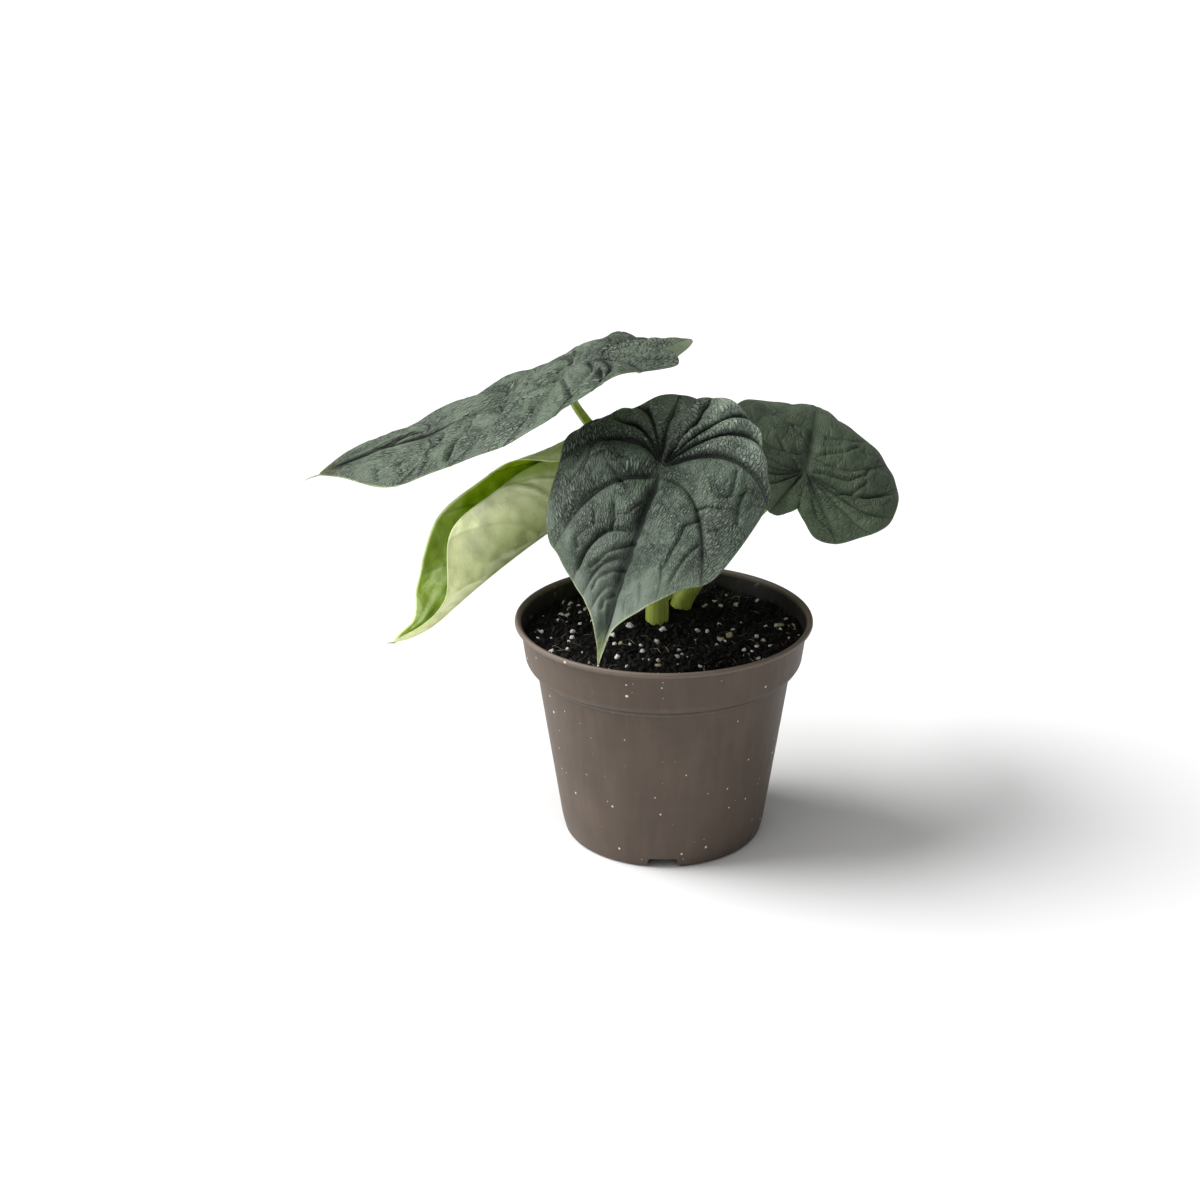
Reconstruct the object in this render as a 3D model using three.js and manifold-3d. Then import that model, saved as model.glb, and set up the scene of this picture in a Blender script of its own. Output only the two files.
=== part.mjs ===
// Potted alocasia melo: a thin nursery pot, its soil, four leaf stalks and four blades.
// Units are millimetres and +Z is up. The pot stands on z = 0 around the Z axis, and its front is at -Y.
import * as THREE from 'three';
import { mergeVertices } from 'three/addons/utils/BufferGeometryUtils.js';
import Module from 'manifold-3d';

// Driving dimensions
const CLEARANCE = 0.3;
const POT_SIDES = 60;
const RIM_RADIUS = 60;
const POT_HEIGHT = 92.7;
const BAND_FOOT_Z = 71.3;
const FOOT_TOP_Z = 6.5;
const FOOT_RADIUS = 42.1;
const WALL_TAPER = 0.144;
const WALL = 1.25;
const CHANNEL_TOP_Z = 4.2;
const FLOOR_TOP_Z = 5.6;
const DISC = { radius: 27, thickness: 1.5 };
const NOTCH = { count: 4, width: 12, height: 4.1, depth: 12 };
const DRAIN = { count: 8, radius: 2.6, ring: 32.3, sides: 16 };

// The pot's outside as radius and height: its ringed foot, the band under the rim, and the rolled rim
const FOOT = [
  [0, 0], [DISC.radius, 0], [28.2, CHANNEL_TOP_Z], [36.6, CHANNEL_TOP_Z], [37.6, 0], [40, 0], [40.8, 0.9],
  [FOOT_RADIUS, FOOT_TOP_Z],
];
const BAND = [[52.6, 72], [54.4, 73.7], [55.8, 76], [57.6, 89.3]];
const RIM = [[58.6, 89.9], [RIM_RADIUS, 91.1], [59.8, 92.2], [58.9, POT_HEIGHT], [57.5, 91.9]];

const SOIL = { level: 84.5, roughness: 1.1, rings: 8, sectors: 40, seed: 11 };
const MOUND = { x: 2, y: 24, height: 1.6, spread: 22.4 };
const PERLITE = { count: 28, smallest: 0.9, largest: 1.9, fromStalks: 9, fromEdge: 4, seed: 5 };
const STALK_HOLE = { floor: 66, depth: 30, sides: 20 };
const STALK_FOOT = 67;
const STALK_BEND = 86.5;
const STALK_SIDES = 12;
const STALK_STEPS = 20;

const BLADE_ROWS_PER_BAY = 3;
const BLADE_STEPS = 9;
const VEIN_BOW = 0.26;
const VEIN_SPREAD = 0.6;
const PILLOW_GAP = 9;
const SPINE_STEP = 1;
const DEG = Math.PI / 180;

// A vein pair starts at a share of the midrib. Its right and its left vein each end at a share of their margin,
// and have a bow towards the lobes and a spread, which is how far out the bow lies.
function plainVein([start, ...ends]) {
  const half = (end) => [end, VEIN_BOW * Math.sin((Math.PI * Math.max(0, end - 0.12)) / 0.88), VEIN_SPREAD];
  return [start, ...ends.map(half)];
}

const OPEN_VEINS = [
  [0, 0.12, 0.12], [0, 0.22, 0.22], [0, 0.33, 0.31], [0.03, 0.44, 0.4],
  [0.15, 0.56, 0.55], [0.36, 0.69, 0.69], [0.62, 0.82, 0.82],
].map(plainVein);

// A blade's edge runs from the notch between its lobes to its tip, as shares of its length and width.
// Angles are in degrees. rise and turn hold the values at the lobes, at the stalk and at the tip:
// rise is how far a half stands up beside the midrib, turn how far it curls from there to its margin.
// quilt is the height of the pillows between the veins, and lift the share of it in each of them.
// valley is how deep the midrib lies between them, and steep the share of a vein on which they rise from it.
const LEAVES = {
  left: {
    junction: [-31.5, 30, 188], length: 120, lobe: 33, width: 95, heading: 168, pitch: -28,
    bendTip: 15, bendLobe: -28, flick: -6, sway: 27, swayLobe: -3, roll: 3, twist: 6, twistLobe: -3,
    riseRight: [8, 12, 4], turnRight: [-77, -28, -66], riseLeft: [7, 16, -14], turnLeft: [5, -41, -28],
    edgeRight: [
      [-0.27, 0], [-0.31, 0.06], [-0.34, 0.16], [-0.345, 0.27], [-0.3, 0.38], [-0.155, 0.49],
      [0.09, 0.49], [0.31, 0.415], [0.54, 0.31], [0.79, 0.22], [0.93, 0.07], [1, 0],
    ],
    veins: OPEN_VEINS, quilt: 2.6, wave: 0.7, valley: 0.8, steep: 0.12, thickness: 1.1, edgeThickness: 0.8,
    liftRight: [0.5, 0.5, 0.5, 0.45, 0.8, 1, 1, 0.8], liftLeft: [0.5, 0.7, 0.8, 0.9, 1, 1, 1, 0.8],
    color: 0x4c5d52, roughness: 0.62,
    stalk: {
      foot: [1, 35], radii: [4.2, 2.5, 1.4], color: 0x9aa83f,
      route: [[2.5, 41, 106], [-11.5, 53, 128], [-26, 54, 149.2], [-37, 50, 166.3], [-38, 36.5, 178]],
      straight: 0,
    },
  },
  front: {
    junction: [-0.7, -15.8, 159.7], length: 82, lobe: 35.5, width: 89.5, heading: -125.3, pitch: -47.3,
    bendTip: -23, bendLobe: -14, flick: -17, sway: -0.5, swayLobe: -2, roll: 2, twist: -9.5, twistLobe: 6,
    riseRight: [1, 27, 2], turnRight: [-30, -46, -12], riseLeft: [16, 14, 2], turnLeft: [-101, -59, -17],
    edgeRight: [
      [-0.39, 0], [-0.405, 0.07], [-0.415, 0.155], [-0.38, 0.25], [-0.3, 0.35], [-0.11, 0.47],
      [0.03, 0.515], [0.43, 0.44], [0.55, 0.315], [0.75, 0.095], [0.87, 0.032], [1, 0],
    ],
    veins: [
      [0, [0.06, 0.1, 1], [0.04, 0.1, 1]],
      [0, [0.19, 0.14, 0.5], [0.18, 0.3, 0.7]],
      [0, [0.31, 0.2, 0.45], [0.27, 0.33, 0.77]],
      [0, [0.44, 0.25, 0.4], [0.395, 0.27, 0.7]],
      [0.06, [0.665, 0.18, 0.72], [0.655, 0.27, 0.66]],
      [0.34, [0.775, 0.16, 1], [0.765, 0.15, 0.85]],
      [0.47, [0.82, 0.1, 0.82], [0.82, 0.1, 0.75]],
      [0.61, [0.865, 0.09, 0.68], [0.865, 0.08, 0.7]],
      [0.8, [0.94, 0.05, 0.6], [0.94, 0.05, 0.6]],
    ],
    quilt: 3.9, wave: 0.4, valley: 2.6, steep: 0.07, thickness: 1.1, edgeThickness: 0.8,
    liftRight: [0.8, 0.9, 0.75, 1, 1.15, 0.6, 0.45, 0.35, 0.2, 0],
    liftLeft: [0.8, 1, 0.9, 0.9, 0.4, 0.5, 0.45, 0.35, 0.2, 0],
    color: 0x4a5a54, roughness: 0.6,
    stalk: {
      foot: [-2.7, 13.8], radii: [5, 4.4, 2], color: 0xb4be63,
      route: [[-2, 12.5, 112], [2, 7, 134]],
      straight: 14,
    },
  },
  right: {
    junction: [57.6, 30.8, 143.6], length: 84.5, lobe: 31.5, width: 79.5, heading: 78, pitch: 29,
    bendTip: -62.5, bendLobe: 5, flick: 0, sway: 10, swayLobe: 4.5, roll: -17, twist: 1, twistLobe: 9,
    riseRight: [18, 12, -19], turnRight: [-25, -33, -24], riseLeft: [30, 17, -20], turnLeft: [-19, -16, -10],
    edgeRight: [
      [-0.256, 0], [-0.33, 0.05], [-0.42, 0.13], [-0.405, 0.24], [-0.3, 0.36], [-0.15, 0.48],
      [0.06, 0.505], [0.32, 0.425], [0.55, 0.315], [0.76, 0.16], [0.9, 0.05], [1, 0],
    ],
    veins: [
      [0, 0.16, 0.12], [0, 0.27, 0.22], [0, 0.37, 0.33], [0, 0.47, 0.44],
      [0.12, 0.58, 0.57], [0.35, 0.71, 0.71], [0.62, 0.83, 0.83],
    ].map(plainVein),
    quilt: 1.7, wave: 0.6, valley: 0.8, steep: 0.12, thickness: 1.1, edgeThickness: 0.8,
    liftRight: [1, 1, 1, 1, 1, 0.9, 0.6, 0.3], liftLeft: [1, 1, 1, 1, 1, 0.9, 0.6, 0.3],
    color: 0x42554a, roughness: 0.64,
    stalk: {
      foot: [7.2, 26.2], radii: [4.8, 3.8, 1.9], color: 0x93a344,
      route: [[9.8, 26.4, 92.5], [18, 27.5, 103.5], [31.5, 31, 119.5], [44.5, 34.5, 130.5]],
      straight: 8,
    },
  },
  rolled: {
    junction: [-22.8, 35.7, 135.5], length: 110.4, lobe: 22, width: 90, heading: 198, pitch: -28,
    bendTip: -14, bendLobe: -25, flick: 39, sway: 9, swayLobe: -1, roll: 7, twist: -9, twistLobe: -8,
    riseRight: [14, 18, 41], turnRight: [176, 176, -34], riseLeft: [14, 14, 39], turnLeft: [234, 234, 51],
    edgeRight: [
      [-0.2, 0], [-0.22, 0.05], [-0.25, 0.13], [-0.255, 0.25], [-0.22, 0.38], [-0.12, 0.485],
      [0.13, 0.555], [0.33, 0.395], [0.576, 0.35], [0.784, 0.19], [0.88, 0.075], [0.96, 0.036], [1, 0],
    ],
    edgeLeft: [
      [-0.2, 0], [-0.22, 0.05], [-0.25, 0.13], [-0.255, 0.25], [-0.22, 0.36], [-0.12, 0.45],
      [0.1, 0.475], [0.33, 0.39], [0.576, 0.368], [0.748, 0.125], [0.868, 0.07], [0.96, 0.05], [1, 0],
    ],
    veins: OPEN_VEINS, quilt: 0.6, wave: 0.3, valley: 0.8, steep: 0.12, thickness: 0.9, edgeThickness: 0.7,
    color: 0xa9bf5e, roughness: 0.45,
    stalk: {
      foot: [-9.5, 29], radii: [4, 3.2, 2], color: 0xaebb60,
      route: [[-11.5, 33, 107]],
      straight: 7,
    },
  },
};

const clamp01 = (x) => Math.min(1, Math.max(0, x));
const smooth = (x) => clamp01(x) ** 2 * (3 - 2 * clamp01(x));
const mix = (a, b, f) => a + (b - a) * f;

// Park and Miller's generator, so that every draw is the same in each build
function randomFrom(seed) {
  let state = seed;
  return () => {
    state = (state * 16807) % 2147483647;
    return state / 2147483647;
  };
}

const wasm = await Module();
wasm.setup();

function toSolid(geometry) {
  const plain = new THREE.BufferGeometry();
  plain.setAttribute('position', geometry.getAttribute('position'));
  if (geometry.index) plain.setIndex(geometry.index);
  const merged = mergeVertices(plain, 1e-4);
  return new wasm.Manifold(new wasm.Mesh({
    numProp: 3,
    vertProperties: new Float32Array(merged.getAttribute('position').array),
    triVerts: new Uint32Array(merged.index.array),
  }));
}

function toGeometry(solid) {
  const mesh = solid.getMesh();
  const geometry = new THREE.BufferGeometry();
  geometry.setAttribute('position', new THREE.BufferAttribute(new Float32Array(mesh.vertProperties), 3));
  geometry.setIndex(new THREE.BufferAttribute(new Uint32Array(mesh.triVerts), 1));
  return geometry;
}

function addMesh(group, name, geometry, color, roughness) {
  geometry.computeVertexNormals();
  const mesh = new THREE.Mesh(geometry, new THREE.MeshStandardMaterial({ color, roughness, metalness: 0 }));
  mesh.name = name;
  group.add(mesh);
}

// A lathe turned from the Y axis onto the Z axis
function lathe(profile, sides) {
  const geometry = new THREE.LatheGeometry(profile.map(([r, z]) => new THREE.Vector2(r, z)), sides);
  geometry.rotateX(Math.PI / 2);
  return geometry;
}

const wallRadius = (z) => FOOT_RADIUS + WALL_TAPER * (z - FOOT_TOP_Z);

// The pot's inner wall and the soil's side share this line, from the floor up to the band
function innerLine(inset) {
  const shrink = (r) => r - WALL - inset;
  return [
    [shrink(wallRadius(FLOOR_TOP_Z + 1)), FLOOR_TOP_Z + inset],
    [shrink(wallRadius(BAND_FOOT_Z + 1)), BAND_FOOT_Z + 1.2],
    [shrink(BAND[1][0]), BAND[1][1] + 1.3],
    [shrink(BAND[2][0]), BAND[2][1] + 1],
  ];
}

function makePot() {
  const outside = [...FOOT, [wallRadius(BAND_FOOT_Z), BAND_FOOT_Z], ...BAND, ...RIM];
  const inside = innerLine(0).reverse();
  const floor = [[DISC.radius + 0.2, FLOOR_TOP_Z], [DISC.radius - 1, DISC.thickness], [0, DISC.thickness]];
  let solid = toSolid(lathe([...outside, ...inside, ...floor], POT_SIDES));
  for (let i = 0; i < NOTCH.count; i += 1) {
    const notch = new THREE.BoxGeometry(NOTCH.width, NOTCH.depth, NOTCH.height + 1);
    notch.translate(0, -(FOOT_RADIUS - 0.5), (NOTCH.height - 1) / 2);
    notch.rotateZ((i * 2 * Math.PI) / NOTCH.count);
    solid = solid.subtract(toSolid(notch));
  }
  for (let i = 0; i < DRAIN.count; i += 1) {
    const hole = new THREE.CylinderGeometry(DRAIN.radius, DRAIN.radius, 4, DRAIN.sides);
    hole.rotateX(Math.PI / 2);
    const angle = ((i + 0.5) * 2 * Math.PI) / DRAIN.count;
    hole.translate(DRAIN.ring * Math.cos(angle), DRAIN.ring * Math.sin(angle), FLOOR_TOP_Z - 0.7);
    solid = solid.subtract(toSolid(hole));
  }
  return toGeometry(solid);
}

// Uneven ground, a little higher around the stalks
function soilHeight(x, y) {
  const fine = Math.sin(x * 0.31 + 1.2) * Math.cos(y * 0.27 - 0.4);
  const broad = 0.6 * Math.sin(x * 0.12 - y * 0.17 + 2);
  const mound = MOUND.height * Math.exp(-((x - MOUND.x) ** 2 + (y - MOUND.y) ** 2) / MOUND.spread ** 2);
  return SOIL.level + SOIL.roughness * 0.7 * (fine + broad) + mound;
}

function makeSoil() {
  const side = innerLine(CLEARANCE);
  const [topRadius] = side[side.length - 1];
  const edgeRadius = topRadius + 0.9;
  const random = randomFrom(SOIL.seed);
  const positions = [];
  const indices = [];
  const ring = (radius, height) => {
    for (let i = 0; i < SOIL.sectors; i += 1) {
      const angle = (i * 2 * Math.PI) / SOIL.sectors;
      const x = radius * Math.cos(angle);
      const y = radius * Math.sin(angle);
      positions.push(x, y, height(x, y));
    }
  };
  positions.push(0, 0, side[0][1]);
  side.forEach(([radius, z]) => ring(radius, () => z));
  for (let i = SOIL.rings; i >= 1; i -= 1) {
    ring((edgeRadius * i) / SOIL.rings, (x, y) => soilHeight(x, y) + (random() - 0.5) * SOIL.roughness);
  }
  const rings = side.length + SOIL.rings;
  const top = positions.length / 3;
  positions.push(0, 0, soilHeight(0, 0));
  for (let i = 0; i < SOIL.sectors; i += 1) {
    const next = (i + 1) % SOIL.sectors;
    indices.push(0, 1 + next, 1 + i);
    for (let r = 0; r < rings - 1; r += 1) {
      const low = 1 + r * SOIL.sectors;
      const high = low + SOIL.sectors;
      indices.push(low + i, low + next, high + next, low + i, high + next, high + i);
    }
    const last = 1 + (rings - 1) * SOIL.sectors;
    indices.push(last + i, last + next, top);
  }
  const geometry = new THREE.BufferGeometry();
  geometry.setAttribute('position', new THREE.Float32BufferAttribute(positions, 3));
  geometry.setIndex(indices);
  let solid = toSolid(geometry);
  solid = addPerlite(solid, edgeRadius - PERLITE.fromEdge);
  for (const { stalk } of Object.values(LEAVES)) {
    const radius = stalk.radii[0] + CLEARANCE;
    const hole = new THREE.CylinderGeometry(radius, radius, STALK_HOLE.depth, STALK_HOLE.sides);
    hole.rotateX(Math.PI / 2);
    hole.translate(stalk.foot[0], stalk.foot[1], STALK_HOLE.floor + STALK_HOLE.depth / 2);
    solid = solid.subtract(toSolid(hole));
  }
  return toGeometry(solid);
}

// White grains, each sunk into the soil by well over half
function addPerlite(soil, reach) {
  const random = randomFrom(PERLITE.seed);
  const feet = Object.values(LEAVES).map(({ stalk }) => stalk.foot);
  let solid = soil;
  let placed = 0;
  while (placed < PERLITE.count) {
    const radius = reach * Math.sqrt(random());
    const angle = 2 * Math.PI * random();
    const x = radius * Math.cos(angle);
    const y = radius * Math.sin(angle);
    const size = mix(PERLITE.smallest, PERLITE.largest, random() ** 2);
    const grain = new THREE.IcosahedronGeometry(size, 0);
    grain.rotateX(random() * 3);
    grain.rotateY(random() * 3);
    grain.scale(1, 1.15, 0.9);
    if (feet.every(([fx, fy]) => Math.hypot(x - fx, y - fy) > PERLITE.fromStalks)) {
      grain.translate(x, y, soilHeight(x, y) - size * 0.2);
      solid = solid.add(toSolid(grain));
      placed += 1;
    }
  }
  return solid;
}

// A value along the midrib, from its three given values at the lobes, at the stalk and at the tip
function along(leaf, s, [atLobe, atStalk, atTip]) {
  return atStalk + (atTip - atStalk) * smooth(s / leaf.length) + (atLobe - atStalk) * smooth(-s / leaf.lobe);
}

// The midrib as a walk of short steps, each with its place, its right-hand side and its upper side
function makeSpine(leaf) {
  const before = Math.ceil((leaf.length * 0.45) / SPINE_STEP);
  const after = Math.ceil((leaf.length * 1.02) / SPINE_STEP);
  const frames = [];
  for (let i = -before; i <= after; i += 1) {
    const s = i * SPINE_STEP;
    const f = Math.min(1.2, Math.max(0, s / leaf.length));
    const b = Math.min(1.3, Math.max(0, -s / leaf.lobe));
    const endShare = Math.min(1.2, Math.max(0, (f - 0.8) / 0.2));
    const pitch = (leaf.pitch + leaf.bendTip * f ** 1.3 + leaf.flick * endShare - leaf.bendLobe * b) * DEG;
    const heading = (leaf.heading + leaf.sway * f - leaf.swayLobe * b) * DEG;
    const roll = (leaf.roll + leaf.twist * f - leaf.twistLobe * b) * DEG;
    const flat = Math.cos(pitch);
    const ahead = new THREE.Vector3(flat * Math.cos(heading), flat * Math.sin(heading), Math.sin(pitch));
    const level = new THREE.Vector3(Math.sin(heading), -Math.cos(heading), 0);
    const over = new THREE.Vector3().crossVectors(level, ahead);
    const side = level.clone().multiplyScalar(Math.cos(roll)).addScaledVector(over, Math.sin(roll));
    const up = over.clone().multiplyScalar(Math.cos(roll)).addScaledVector(level, -Math.sin(roll));
    frames.push({ ahead, side, up, place: new THREE.Vector3() });
  }
  for (let i = 1; i < frames.length; i += 1) {
    const step = frames[i].ahead.clone().add(frames[i - 1].ahead).multiplyScalar(SPINE_STEP / 2);
    frames[i].place.copy(frames[i - 1].place).add(step);
  }
  const shift = new THREE.Vector3(...leaf.junction).sub(frames[before].place);
  frames.forEach((frame) => frame.place.add(shift));
  return (s) => {
    const x = Math.min(frames.length - 1.001, Math.max(0, s / SPINE_STEP + before));
    const low = Math.floor(x);
    const pick = (key) => frames[low][key].clone().lerp(frames[low + 1][key], x - low);
    return { place: pick('place'), side: pick('side').normalize(), up: pick('up').normalize() };
  };
}

// The blade as a smooth sheet: s runs along the midrib from the stalk, t across it, right positive
function makeSheet(leaf) {
  const spine = makeSpine(leaf);
  const at = (s, t) => {
    const { place, side, up } = spine(s);
    const right = t >= 0;
    const rise = along(leaf, s, right ? leaf.riseRight : leaf.riseLeft) * DEG;
    const given = (along(leaf, s, right ? leaf.turnRight : leaf.turnLeft) * DEG) / (leaf.width / 2);
    const turn = Math.abs(given) < 1e-5 ? 1e-5 : given;
    const reach = Math.abs(t);
    const out = (Math.sin(rise + turn * reach) - Math.sin(rise)) / turn;
    const high = (Math.cos(rise) - Math.cos(rise + turn * reach)) / turn;
    return place.addScaledVector(side, right ? out : -out).addScaledVector(up, high);
  };
  const normal = (s, t) => {
    const h = 0.4;
    const lengthwise = at(s + h, t).sub(at(s - h, t));
    const crosswise = at(s, t + h).sub(at(s, t - h));
    return crosswise.cross(lengthwise).normalize();
  };
  return { at, normal };
}

// Rows that follow the veins: bay edges are veins, and both halves' rows start at the same midrib points
function makeRows(leaf, right) {
  const stops = [[0, [0, 0, 1], [0, 0, 1]], ...leaf.veins, [1, [1, 0, VEIN_SPREAD], [1, 0, VEIN_SPREAD]]];
  const edge = right ? leaf.edgeRight : leaf.edgeLeft ?? leaf.edgeRight;
  const outline = new THREE.SplineCurve(edge.map(([s, t]) => new THREE.Vector2(
    s * leaf.length,
    t * leaf.width * (right ? 1 : -1),
  )));
  outline.arcLengthDivisions = 400;
  const rowAt = (bay, share) => {
    const [low, high] = [stops[bay], stops[Math.min(bay + 1, stops.length - 1)]];
    const side = right ? 1 : 2;
    const [q, bow, spread] = low[side].map((value, i) => mix(value, high[side][i], share));
    const start = new THREE.Vector2(mix(low[0], high[0], share) * leaf.length, 0);
    const end = outline.getPointAt(clamp01(q));
    const bend = new THREE.Vector2((start.x + end.x) / 2 - bow * leaf.length, spread * end.y);
    return new THREE.QuadraticBezierCurve(start, bend, end);
  };
  const rows = [];
  for (let bay = 0; bay < stops.length - 1; bay += 1) {
    const [lowVein, highVein] = [rowAt(bay, 0), rowAt(bay, 1)];
    for (let j = 0; j < BLADE_ROWS_PER_BAY; j += 1) {
      const share = j / BLADE_ROWS_PER_BAY;
      rows.push({ curve: rowAt(bay, share), bay, share, lowVein, highVein });
    }
  }
  const last = rowAt(stops.length - 1, 0);
  rows.push({ curve: last, bay: stops.length - 1, share: 0, lowVein: last, highVein: last });
  return rows;
}

// One over most of the blade, and nothing at its tip
const tipFade = (leaf, row) => 1 - smooth((row.curve.v0.x / leaf.length - 0.7) / 0.3);

// How far the skin sinks beside the midrib, most on the line itself
function valleyAt(leaf, right, s, t) {
  const reach = smooth((s - 3) / 8) * (1 - smooth((s / leaf.length - 0.75) / 0.25));
  return leaf.valley * reach * Math.exp(-((t / (right ? 3.2 : 2.2)) ** 2));
}

// How far the skin stands off the smooth sheet: pillows between sunken veins, cross folds, a waved margin
function relief(leaf, right, row, r) {
  const { bay, share } = row;
  const gap = clamp01(row.lowVein.getPoint(r).distanceTo(row.highVein.getPoint(r)) / PILLOW_GAP);
  const steep = (4 * share * (1 - share)) ** 0.75;
  const soft = (1 - Math.cos(2 * Math.PI * share)) / 2;
  const pillow = bay === 0 ? 1 - share ** 2 : mix(steep, soft, smooth((r - 0.6) / 0.4)) * gap;
  const lift = (right ? leaf.liftRight : leaf.liftLeft)?.[bay] ?? 1;
  const reach = smooth(r / leaf.steep) * (1 - 0.75 * smooth((r - 0.8) / 0.2));
  const folds = 1 + 0.28 * Math.cos(2 * Math.PI * (2.5 * r + 0.37 * bay)) * smooth(bay + share);
  const wave = Math.sin(2.4 * (bay + share)) * smooth((r - 0.6) / 0.4);
  const nearTip = smooth((row.curve.v0.x / leaf.length - 0.3) / 0.4);
  const sunk = 0.5 * gap * smooth(bay + share) * (1 - 0.6 * smooth((r - 0.5) / 0.5)) * mix(1, 0.3, nearTip);
  const quilt = leaf.quilt * mix(0.3, 1, tipFade(leaf, row));
  return quilt * (pillow * folds * lift - sunk) * reach + leaf.wave * wave * tipFade(leaf, row);
}

function makeBlade(leaf) {
  const sheet = makeSheet(leaf);
  const positions = [];
  const indices = [];
  for (const right of [true, false]) {
    const rows = makeRows(leaf, right);
    const across = BLADE_STEPS + 1;
    const base = positions.length / 3;
    for (const row of rows) {
      for (let j = 0; j < across; j += 1) {
        const r = j / BLADE_STEPS;
        const { x: s, y: t } = row.curve.getPoint(r);
        const point = sheet.at(s, t);
        const normal = sheet.normal(s, t);
        const top = relief(leaf, right, row, r) - valleyAt(leaf, right, s, t);
        const body = (1 - r * r) * tipFade(leaf, row);
        const thick = mix(leaf.edgeThickness, leaf.thickness, body);
        const upper = point.clone().addScaledVector(normal, top);
        const lower = point.clone().addScaledVector(normal, top - thick);
        positions.push(...upper.toArray(), ...lower.toArray());
      }
    }
    const id = (i, j, under) => base + 2 * (i * across + j) + (under ? 1 : 0);
    const quad = (a, b, c, d) => {
      if (right) indices.push(a, b, c, a, c, d);
      else indices.push(a, c, b, a, d, c);
    };
    for (let i = 0; i < rows.length - 1; i += 1) {
      for (let j = 0; j < BLADE_STEPS; j += 1) {
        quad(id(i, j), id(i, j + 1), id(i + 1, j + 1), id(i + 1, j));
        quad(id(i, j, true), id(i + 1, j, true), id(i + 1, j + 1, true), id(i, j + 1, true));
      }
      const rim = BLADE_STEPS;
      quad(id(i, rim), id(i, rim, true), id(i + 1, rim, true), id(i + 1, rim));
    }
  }
  const geometry = new THREE.BufferGeometry();
  geometry.setAttribute('position', new THREE.Float32BufferAttribute(positions, 3));
  geometry.setIndex(indices);
  return dropCollapsed(mergeVertices(geometry, 1e-3));
}

// Rows meet at the stalk and at the tip, so some triangles there have no area and are left out
function dropCollapsed(geometry) {
  const source = geometry.index.array;
  const kept = [];
  for (let i = 0; i < source.length; i += 3) {
    const [a, b, c] = [source[i], source[i + 1], source[i + 2]];
    if (a !== b && b !== c && c !== a) kept.push(a, b, c);
  }
  geometry.setIndex(kept);
  return geometry;
}

// A straight prism is bent along the stalk's route and thinned towards the blade
function makeStalk(leaf) {
  const { foot, radii, route, straight } = leaf.stalk;
  const sheet = makeSheet(leaf);
  const normal = sheet.normal(0, 0);
  const under = sheet.at(0, 0).addScaledVector(normal, -leaf.thickness);
  const arrival = under.clone().sub(new THREE.Vector3(...route[route.length - 1])).normalize();
  const lean = straight ? 0 : Math.sqrt(1 - arrival.dot(normal) ** 2);
  const end = under.clone().addScaledVector(normal, -CLEARANCE * 1.4 - radii[2] * lean);
  const points = [
    new THREE.Vector3(foot[0], foot[1], STALK_FOOT),
    new THREE.Vector3(foot[0], foot[1], (STALK_FOOT + STALK_BEND) / 2),
    new THREE.Vector3(foot[0], foot[1], STALK_BEND),
    ...route.map((p) => new THREE.Vector3(...p)),
  ];
  if (straight) points.push(end.clone().addScaledVector(normal, -straight));
  points.push(end);
  const path = new THREE.CatmullRomCurve3(points, false, 'centripetal');
  const frames = path.computeFrenetFrames(STALK_STEPS, false);
  const outline = new THREE.Shape().absarc(0, 0, 1, 0, 2 * Math.PI, false);
  const prism = new THREE.ExtrudeGeometry(outline, {
    depth: STALK_STEPS, steps: STALK_STEPS, bevelEnabled: false, curveSegments: STALK_SIDES / 2,
  });
  const place = prism.getAttribute('position');
  for (let i = 0; i < place.count; i += 1) {
    const step = Math.round(place.getZ(i));
    const u = step / STALK_STEPS;
    const lower = mix(radii[0], radii[1], smooth(u * 2));
    const radius = u < 0.5 ? lower : mix(radii[1], radii[2], smooth(u * 2 - 1));
    const point = path.getPointAt(u)
      .addScaledVector(frames.normals[step], place.getX(i) * radius)
      .addScaledVector(frames.binormals[step], place.getY(i) * radius);
    place.setXYZ(i, point.x, point.y, point.z);
  }
  return toGeometry(toSolid(prism));
}

const plant = new THREE.Group();
plant.name = 'potted_alocasia_melo';
addMesh(plant, 'pot', makePot(), 0x74665e, 0.55);
addMesh(plant, 'soil', makeSoil(), 0x1f1b18, 0.95);
for (const [name, leaf] of Object.entries(LEAVES)) {
  addMesh(plant, `stalk_${name}`, makeStalk(leaf), leaf.stalk.color, 0.5);
  addMesh(plant, `blade_${name}`, makeBlade(leaf), leaf.color, leaf.roughness);
}

export default plant;
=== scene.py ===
import math

import bmesh
import bpy
import numpy as np
from mathutils import Matrix, Quaternion, Vector


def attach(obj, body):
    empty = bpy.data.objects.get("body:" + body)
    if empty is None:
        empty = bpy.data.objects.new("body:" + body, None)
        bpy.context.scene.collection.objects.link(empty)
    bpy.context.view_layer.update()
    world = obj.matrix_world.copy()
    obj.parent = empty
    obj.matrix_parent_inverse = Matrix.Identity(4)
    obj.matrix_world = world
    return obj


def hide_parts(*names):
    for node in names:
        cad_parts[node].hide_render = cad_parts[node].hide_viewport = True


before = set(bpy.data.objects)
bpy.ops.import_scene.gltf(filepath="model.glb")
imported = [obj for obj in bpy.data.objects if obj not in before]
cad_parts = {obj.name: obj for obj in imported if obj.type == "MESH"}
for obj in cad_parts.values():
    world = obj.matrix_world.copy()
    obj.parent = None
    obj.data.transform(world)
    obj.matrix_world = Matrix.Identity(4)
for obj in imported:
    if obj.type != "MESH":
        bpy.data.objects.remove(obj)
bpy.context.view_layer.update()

MM = 0.001
ROOT = "root"

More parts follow.
